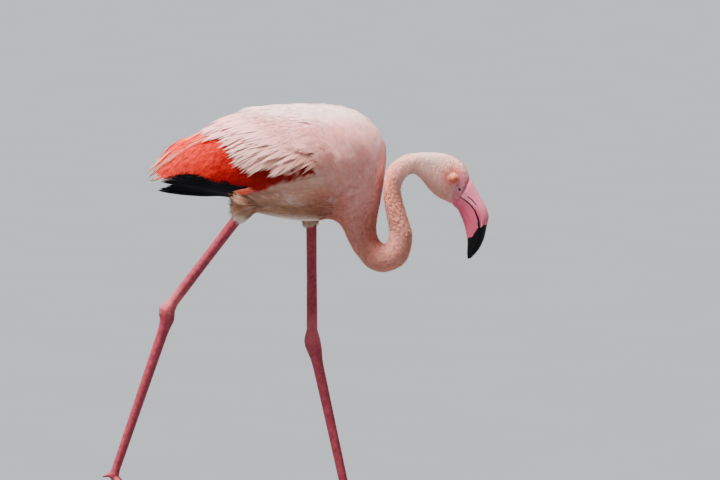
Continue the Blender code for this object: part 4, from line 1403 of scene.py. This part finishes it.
BARB_HEIGHT = 0.12 * MM
black = Finish("black_vanes")
share, across = black.along_vane()
worn = black.span(black.noise(black.place, 90.0, 4.0, 0.7), 0.52, 0.75)
edge = black.span(across, 0.72, 1.0)
black.look(Base_Color=black.layered((0.006, 0.006, 0.008),
                                    (black.named("tint") * 0.5, (0.012, 0.010, 0.011)),
                                    (edge * worn * 0.6, (0.05, 0.035, 0.03))),
           Roughness=worn * 0.15 + 0.45, Specular_IOR_Level=0.06)
black.bump(black.barbs(share, across, 90.0), BARB_HEIGHT, 0.6)

coral = Finish("tertial_vanes")
share, across = coral.along_vane()
lobe = coral.span(coral.parts(coral.place)[0], -0.15, -0.135)
colour = coral.layered(covert_paint(coral),
                       (coral.span(coral.named("tint"), 0.55, 0.6), (0.97, 0.36, 0.28)),
                       (lobe, (1.0, 0.13, 0.07)))
colour = coral.layered(coral.tone(coral.named("tint") * 0.4, colour, (0.80, 0.5, 0.5)),
                       (coral.span(across, 0.45, 1.0) * 0.4, (0.95, 0.40, 0.30)),
                       (coral.span(share, 0.6, 1.0) * 0.3, (0.95, 0.50, 0.38)))
coral.look(Base_Color=colour, Roughness=0.8, Specular_IOR_Level=0.12)
coral.bump(coral.barbs(share, across, 80.0), BARB_HEIGHT, 0.6)

for side, sign in SIDES.items():
    shells = ["wing_" + side, "primaries_" + side, "trunk"]
    for name, nodes, rows, finish, slot in (
            ("primary_feathers_", shells[:2], PRIMARIES, black, "flight_feathers"),
            ("tertials_", shells[:1], TERTIALS, coral, "wing_coverts"),
            ("tongue_", shells, TONGUE, coral, "wing_coverts")):
        flank = outer_faces(nodes)
        piece = blades(name + side, [flank_row(flank, row, sign) for row in rows], finish)
        if rows is PRIMARIES:
            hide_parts("primaries_" + side)

TAIL_FAN = 9
tail_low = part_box("tail")[0]
tail_rows = []
for number in range(TAIL_FAN):
    turn = (number - (TAIL_FAN - 1) / 2) / ((TAIL_FAN - 1) / 2)
    shaft, facings = [], []
    for i in range(BLADE_STATIONS):
        share = i / (BLADE_STATIONS - 1)
        x = tail_low.x + 42 * MM - share * (58 - 8 * abs(turn)) * MM
        y = turn * (7 + 13 * share) * MM
        z = tail_low.z + (22 - 20 * share - abs(turn) * 4 - abs(number - 4) * 0.3) * MM
        shaft.append(Vector((x, y, z)))
        facings.append(Vector((0.3, turn * 0.5, 1)).normalized())
    tail_rows.append((shaft, facings, 13 * MM))
# The third value is the painted shade at the feathers' roots.
tail_finish = plumage_finish("tail_vanes", markings, (0.7, 0.6, 0.58), 0.4)
tail_feathers = blades("tail_feathers", tail_rows, tail_finish)


# ---- Bill --------------------------------------------------------------------------
# The bill is horn over bone, rose pink with a black hooked tip. The narrow upper half
# sits like a lid on the deep lower one; a slit of a nostril lies on each side of it.
BILL_GRID = 0.85 * MM
BILL_ROOT_DEPTH = 7 * MM           # hidden under the skin of the face
NOSTRIL = [(297, 596), (305, 590), (312, 582)]
GAPE = [(279, 597), (293, 589), (302, 582), (310, 573), (315, 563), (318, 555), (319, 546)]
GAPE_HALF_WIDTH = ((0, 0.15, 0.5, 1.0), (0.5, 0.8, 1.2, 2.0))
GROOVE = [(312, 582), (319, 571), (324, 560), (327, 550)]
BLACK_FROM = {"bill_upper": [(319, 543), (324, 544), (327, 547), (333, 549)],
              "bill_lower": [(297, 519), (303, 524), (308, 525), (311, 531), (316, 539),
                             (319, 545)]}
BILL_SIDE_FACING = (0.3, 0.6)
BILL_ROOT_WIDTH = 0.86
BILL_BLUSH_HEIGHTS = (0.62, 0.56)
BILL_PINK = (0.77, 0.172, 0.255)
BILL_LILAC = (0.75, 0.21, 0.285)
BILL_ROSE = (0.69, 0.106, 0.178)
BILL_PALE = (0.96, 0.46, 0.51)
# Black of the tip, also laid along the gape as painted shade.
BILL_BLACK_AND_GAPE_SHADE = (0.005, 0.004, 0.0045)
# Painted shade in the nostril's slit.
NOSTRIL_PAINTED_SHADE = (0.05, 0.015, 0.02)


def horn(name, node):
    """A bill half with a root inside the face, on a fine even grid."""
    piece = gathered(name, [node])
    points = points_of(piece.data)
    ahead = (points - np.array(bill_root)) @ np.array(bill_ahead)
    at_root = ahead < 1.5 * MM
    points[at_root] -= np.array(bill_ahead) * BILL_ROOT_DEPTH
    points[at_root, 1] = (points[at_root, 1] - bill_root.y) * BILL_ROOT_WIDTH + bill_root.y
    move_points(piece.data, points)
    return even_grid(piece, BILL_GRID)


def drawn_from(finish, rows):
    """Side-view distance from a line, reckoned in the material: its mark is finer than
    the mesh."""
    flat = finish.vector("MULTIPLY", finish.place, (1, 0, 1))
    nearest = 1.0
    for start, end in zip(rows, rows[1:]):
        start, end = (Vector((x, 0, z)) * MM for x, z in (start, end))
        along = (end - start).normalized()
        ahead = finish.vector("SUBTRACT", flat, start[:])
        far = finish.vector("DOT_PRODUCT", ahead, along[:])
        far = finish.reckon("MINIMUM", finish.reckon("MAXIMUM", far, 0.0), (end - start).length)
        foot = finish.vector("SCALE", along[:], far)
        away = finish.vector("DISTANCE", ahead, foot)
        nearest = finish.reckon("MINIMUM", nearest, away)
    return nearest


for node in ("bill_upper", "bill_lower"):
    upper = node == "bill_upper"
    piece = horn(node + "_horn", node)
    points = relaxed(points_of(piece.data), edges_of(piece.data), 40, KEEP_SIZE)
    move_points(piece.data, points)
    normals = normals_of(piece.data)
    on_side = ease(np.abs(normals[:, 1]), *BILL_SIDE_FACING)
    off_side = (1 - on_side) * 5 * MM
    gape, share = from_path(points, GAPE)
    groove = from_path(points, GROOVE)[0]
    slit = from_path(points, NOSTRIL)[0] if upper else np.full(len(points), 1.0)
    dent = dip(slit, 1.1, 0.9) - dip(slit - 2 * MM, 0.35, 1)
    dent += dip(gape, 0.5, 1) + dip(groove, 0.3, 0.8)
    points = points - normals * (dent * on_side)[:, None]
    carry(piece.data, "gape", gape - np.interp(share, *GAPE_HALF_WIDTH) * MM + off_side)
    carry(piece.data, "groove", groove + off_side)
    carry(piece.data, "black", line_height(points[:, 0], BLACK_FROM[node]) - points[:, 2])
    move_points(piece.data, points)
    piece.data.shade_smooth()

    shade = Finish(piece.name)
    mottle = shade.noise(shade.place, 120.0, 4.0, 0.6)
    grain = shade.node("ShaderNodeMapping", None, shade.place, Scale=(45.0, 200.0, 500.0),
                       Rotation=(0, math.radians(-52), 0))
    streaks = shade.noise(grain, 1.0, 3.0, 0.6)
    high = shade.parts(shade.place)[2]
    colours = (BILL_LILAC, BILL_PINK) if upper else (BILL_PINK, BILL_ROSE)
    warmth = shade.span(high + (mottle - 0.5) * 0.02, *BILL_BLUSH_HEIGHTS)
    base = shade.blend(warmth, *colours)
    base = shade.tone(streaks * 0.45, base, (0.86, 0.72, 0.76))
    # On the upper bill: a pale band by the gape, and darker rose along the groove as painted shade
    # in the furrow.
    if upper:
        base = shade.layered(
            base, (shade.span(shade.named("gape"), 4.5 * MM, 2.0 * MM) * 0.8, BILL_PALE),
            (shade.span(shade.named("groove"), 1.0 * MM, 0.3 * MM) * 0.6, BILL_ROSE))
    jagged = (shade.noise(shade.place, 330.0, 2.0, 0.6) - 0.5) * 0.005
    tip = shade.span(shade.named("black") + jagged, -0.3 * MM, 0.3 * MM)
    # Painted shade: black along the gape between the two halves.
    gape_painted_shade = shade.span(shade.named("gape"), 0.25 * MM, -0.1 * MM)
    base = shade.layered(base, (gape_painted_shade, BILL_BLACK_AND_GAPE_SHADE), (tip, BILL_BLACK_AND_GAPE_SHADE))
    if upper:
        # Painted shade in the nostril's slit.
        slit = shade.span(drawn_from(shade, NOSTRIL), 0.8 * MM, 0.45 * MM)
        base = shade.blend(slit, base, NOSTRIL_PAINTED_SHADE)
    shade.look(Base_Color=base, Roughness=mottle * 0.12 + 0.34 - tip * 0.14,
               Specular_IOR_Level=0.14)
    shade.bump(streaks * 0.7 + mottle * 0.3, 0.25 * MM, 0.4)
    shade.wear(piece)
    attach(piece, "root")
    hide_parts(node)


# ---- Eyes --------------------------------------------------------------------------
# A wet ball sits in each socket, behind nearly closed lids: a dark pupil, a pale yellow
# iris with fine spokes, and a dark rim. It is the solid's own ball under a clear coat.
IRIS_OUTER = 4.3 * MM
PUPIL = 1.9 * MM

glass = Finish("eye")
ahead, _, high = glass.parts(glass.place)
ahead, high = ahead - eye_middles["left"].x, high - eye_middles["left"].z
off_axis = glass.reckon("SQRT", ahead * ahead + high * high)
around = glass.reckon("ARCTAN2", high, ahead)
spokes = glass.reckon("SINE", around * 46.0) * 0.5 + 0.5
ball = glass.layered(
    (0.78, 0.50, 0.13), (spokes * 0.4, (0.62, 0.33, 0.07)),
    (glass.span(off_axis, IRIS_OUTER - 1.0 * MM, IRIS_OUTER), (0.10, 0.03, 0.015)),
    (glass.span(off_axis, PUPIL + 0.25 * MM, PUPIL), (0.004, 0.003, 0.003)))
glass.look(Base_Color=ball, Roughness=0.12, Coat_Weight=1.0, Coat_Roughness=0.03)
for side in SIDES:
    glass.wear(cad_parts["eye_" + side])


# ---- Leg scutes --------------------------------------------------------------------
# The front of each bare leg carries a row of broad horny plates, each lying over the next
# one down. They are thin sheets of horn that grow out of the leg's skin.
SCUTE_STEP = 4.6 * MM
SCUTE_HALF_TURN = math.radians(62)
SCUTE_COLUMNS = 6
SCUTE_RISE = 0.45 * MM
SCUTE_SUNK, SCUTE_OVERLAP = 0.6, 0.8     # millimetres


def scute_sheet(name, shell, middles):
    """Thin overlapping plates round the front of a leg, from its top down."""
    bm = bmesh.new()
    rank = bm.verts.layers.float.new("rank")
    for number, (high, low) in enumerate(zip(middles, middles[1:])):
        down = (low - high).normalized()
        front = (Vector((1, 0, 0)) - down * down.x).normalized()
        across = down.cross(front)
        rows = []
        for centre, rise in ((high, 0.05 * MM), (low + down * SCUTE_OVERLAP * MM, SCUTE_RISE)):
            row = []
            for k in range(SCUTE_COLUMNS + 1):
                turn = (k / SCUTE_COLUMNS * 2 - 1) * SCUTE_HALF_TURN
                way = front * math.cos(turn) + across * math.sin(turn)
                hit, facing, _, _ = shell.ray_cast(centre + way * 40 * MM, -way)
                if hit is None:
                    row = []
                    break
                fade = 1 - abs(turn / SCUTE_HALF_TURN) ** 4
                outer = bm.verts.new(hit + way * rise * fade)
                inner = bm.verts.new(hit - way * SCUTE_SUNK * MM)
                outer[rank] = inner[rank] = (number * GOLDEN) % 1.0
                row.append((outer, inner))
            rows.append(row)
        top, bottom = rows
        if not top or not bottom:
            continue
        for (a, ai), (b, bi), (c, ci), (d, di) in zip(top, top[1:], bottom, bottom[1:]):
            bm.faces.new((a, b, d, c))
            bm.faces.new((ai, ci, di, bi))
            bm.faces.new((c, d, di, ci))
            bm.faces.new((a, ai, bi, b))
        bm.faces.new((top[0][0], bottom[0][0], bottom[0][1], top[0][1]))
        bm.faces.new((top[-1][0], top[-1][1], bottom[-1][1], bottom[-1][0]))
    return linked(name, meshed(name, bm))


scales = Finish("scutes")
patches = scales.noise(scales.place, 160.0, 4.0, 0.6)
grime = scales.noise(scales.place, 600.0, 3.0, 0.6)
# The leg's paint, with its painted shade in the furrows, darker on some plates.
plate = scales.tone(scales.named("rank") * 0.5, leg_paint(scales)[0], (0.8, 0.66, 0.68))
plate = scales.tone(scales.span(grime, 0.5, 0.8) * 0.6, plate, (0.7, 0.5, 0.5))
scales.look(Base_Color=plate, Roughness=patches * 0.2 + 0.35)
scales.bump(grime, 0.1 * MM, 0.5)

# Each part of the leg: how far its scutes start under its top and end above its foot.
SCUTE_ENDS = {"shank": (8 * MM, 26 * MM), "tarsus": (22 * MM, 10 * MM)}
leg_points = points_of(skin.data)[body_count:]
leg_tree = tree_of(skin.data)
for side, sign in SIDES.items():
    own = leg_points[leg_points[:, 1] * sign > 0]
    for part, (from_top, from_foot) in SCUTE_ENDS.items():
        low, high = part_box(part + "_" + side)
        middles = []
        for height in np.arange(high.z - from_top, low.z + from_foot, -SCUTE_STEP):
            slab = own[np.abs(own[:, 2] - height) < 1.6 * MM]
            x, y, _ = (slab.min(0) + slab.max(0)) / 2
            middles.append(Vector((x, y, height)))
        sheet = scute_sheet(part + "_scutes_" + side, leg_tree, middles)
        scales.wear(sheet)
        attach(sheet, "root")


# ---- Claws -------------------------------------------------------------------------
# Each front toe ends in a short blunt nail of dark horn, with a fine grain of paler,
# rougher flecks. They are the solids' own claws under this finish.
nail = Finish("claw")
grain = nail.noise(nail.place, 700.0, 4.0, 0.6)
nail.look(Base_Color=nail.blend(grain * 0.6, (0.022, 0.017, 0.016), (0.075, 0.05, 0.045)),
          Roughness=grain * 0.3 + 0.25)
nail.bump(grain, 0.1 * MM, 0.5)
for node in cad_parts:
    if node.startswith("claw_"):
        nail.wear(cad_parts[node])
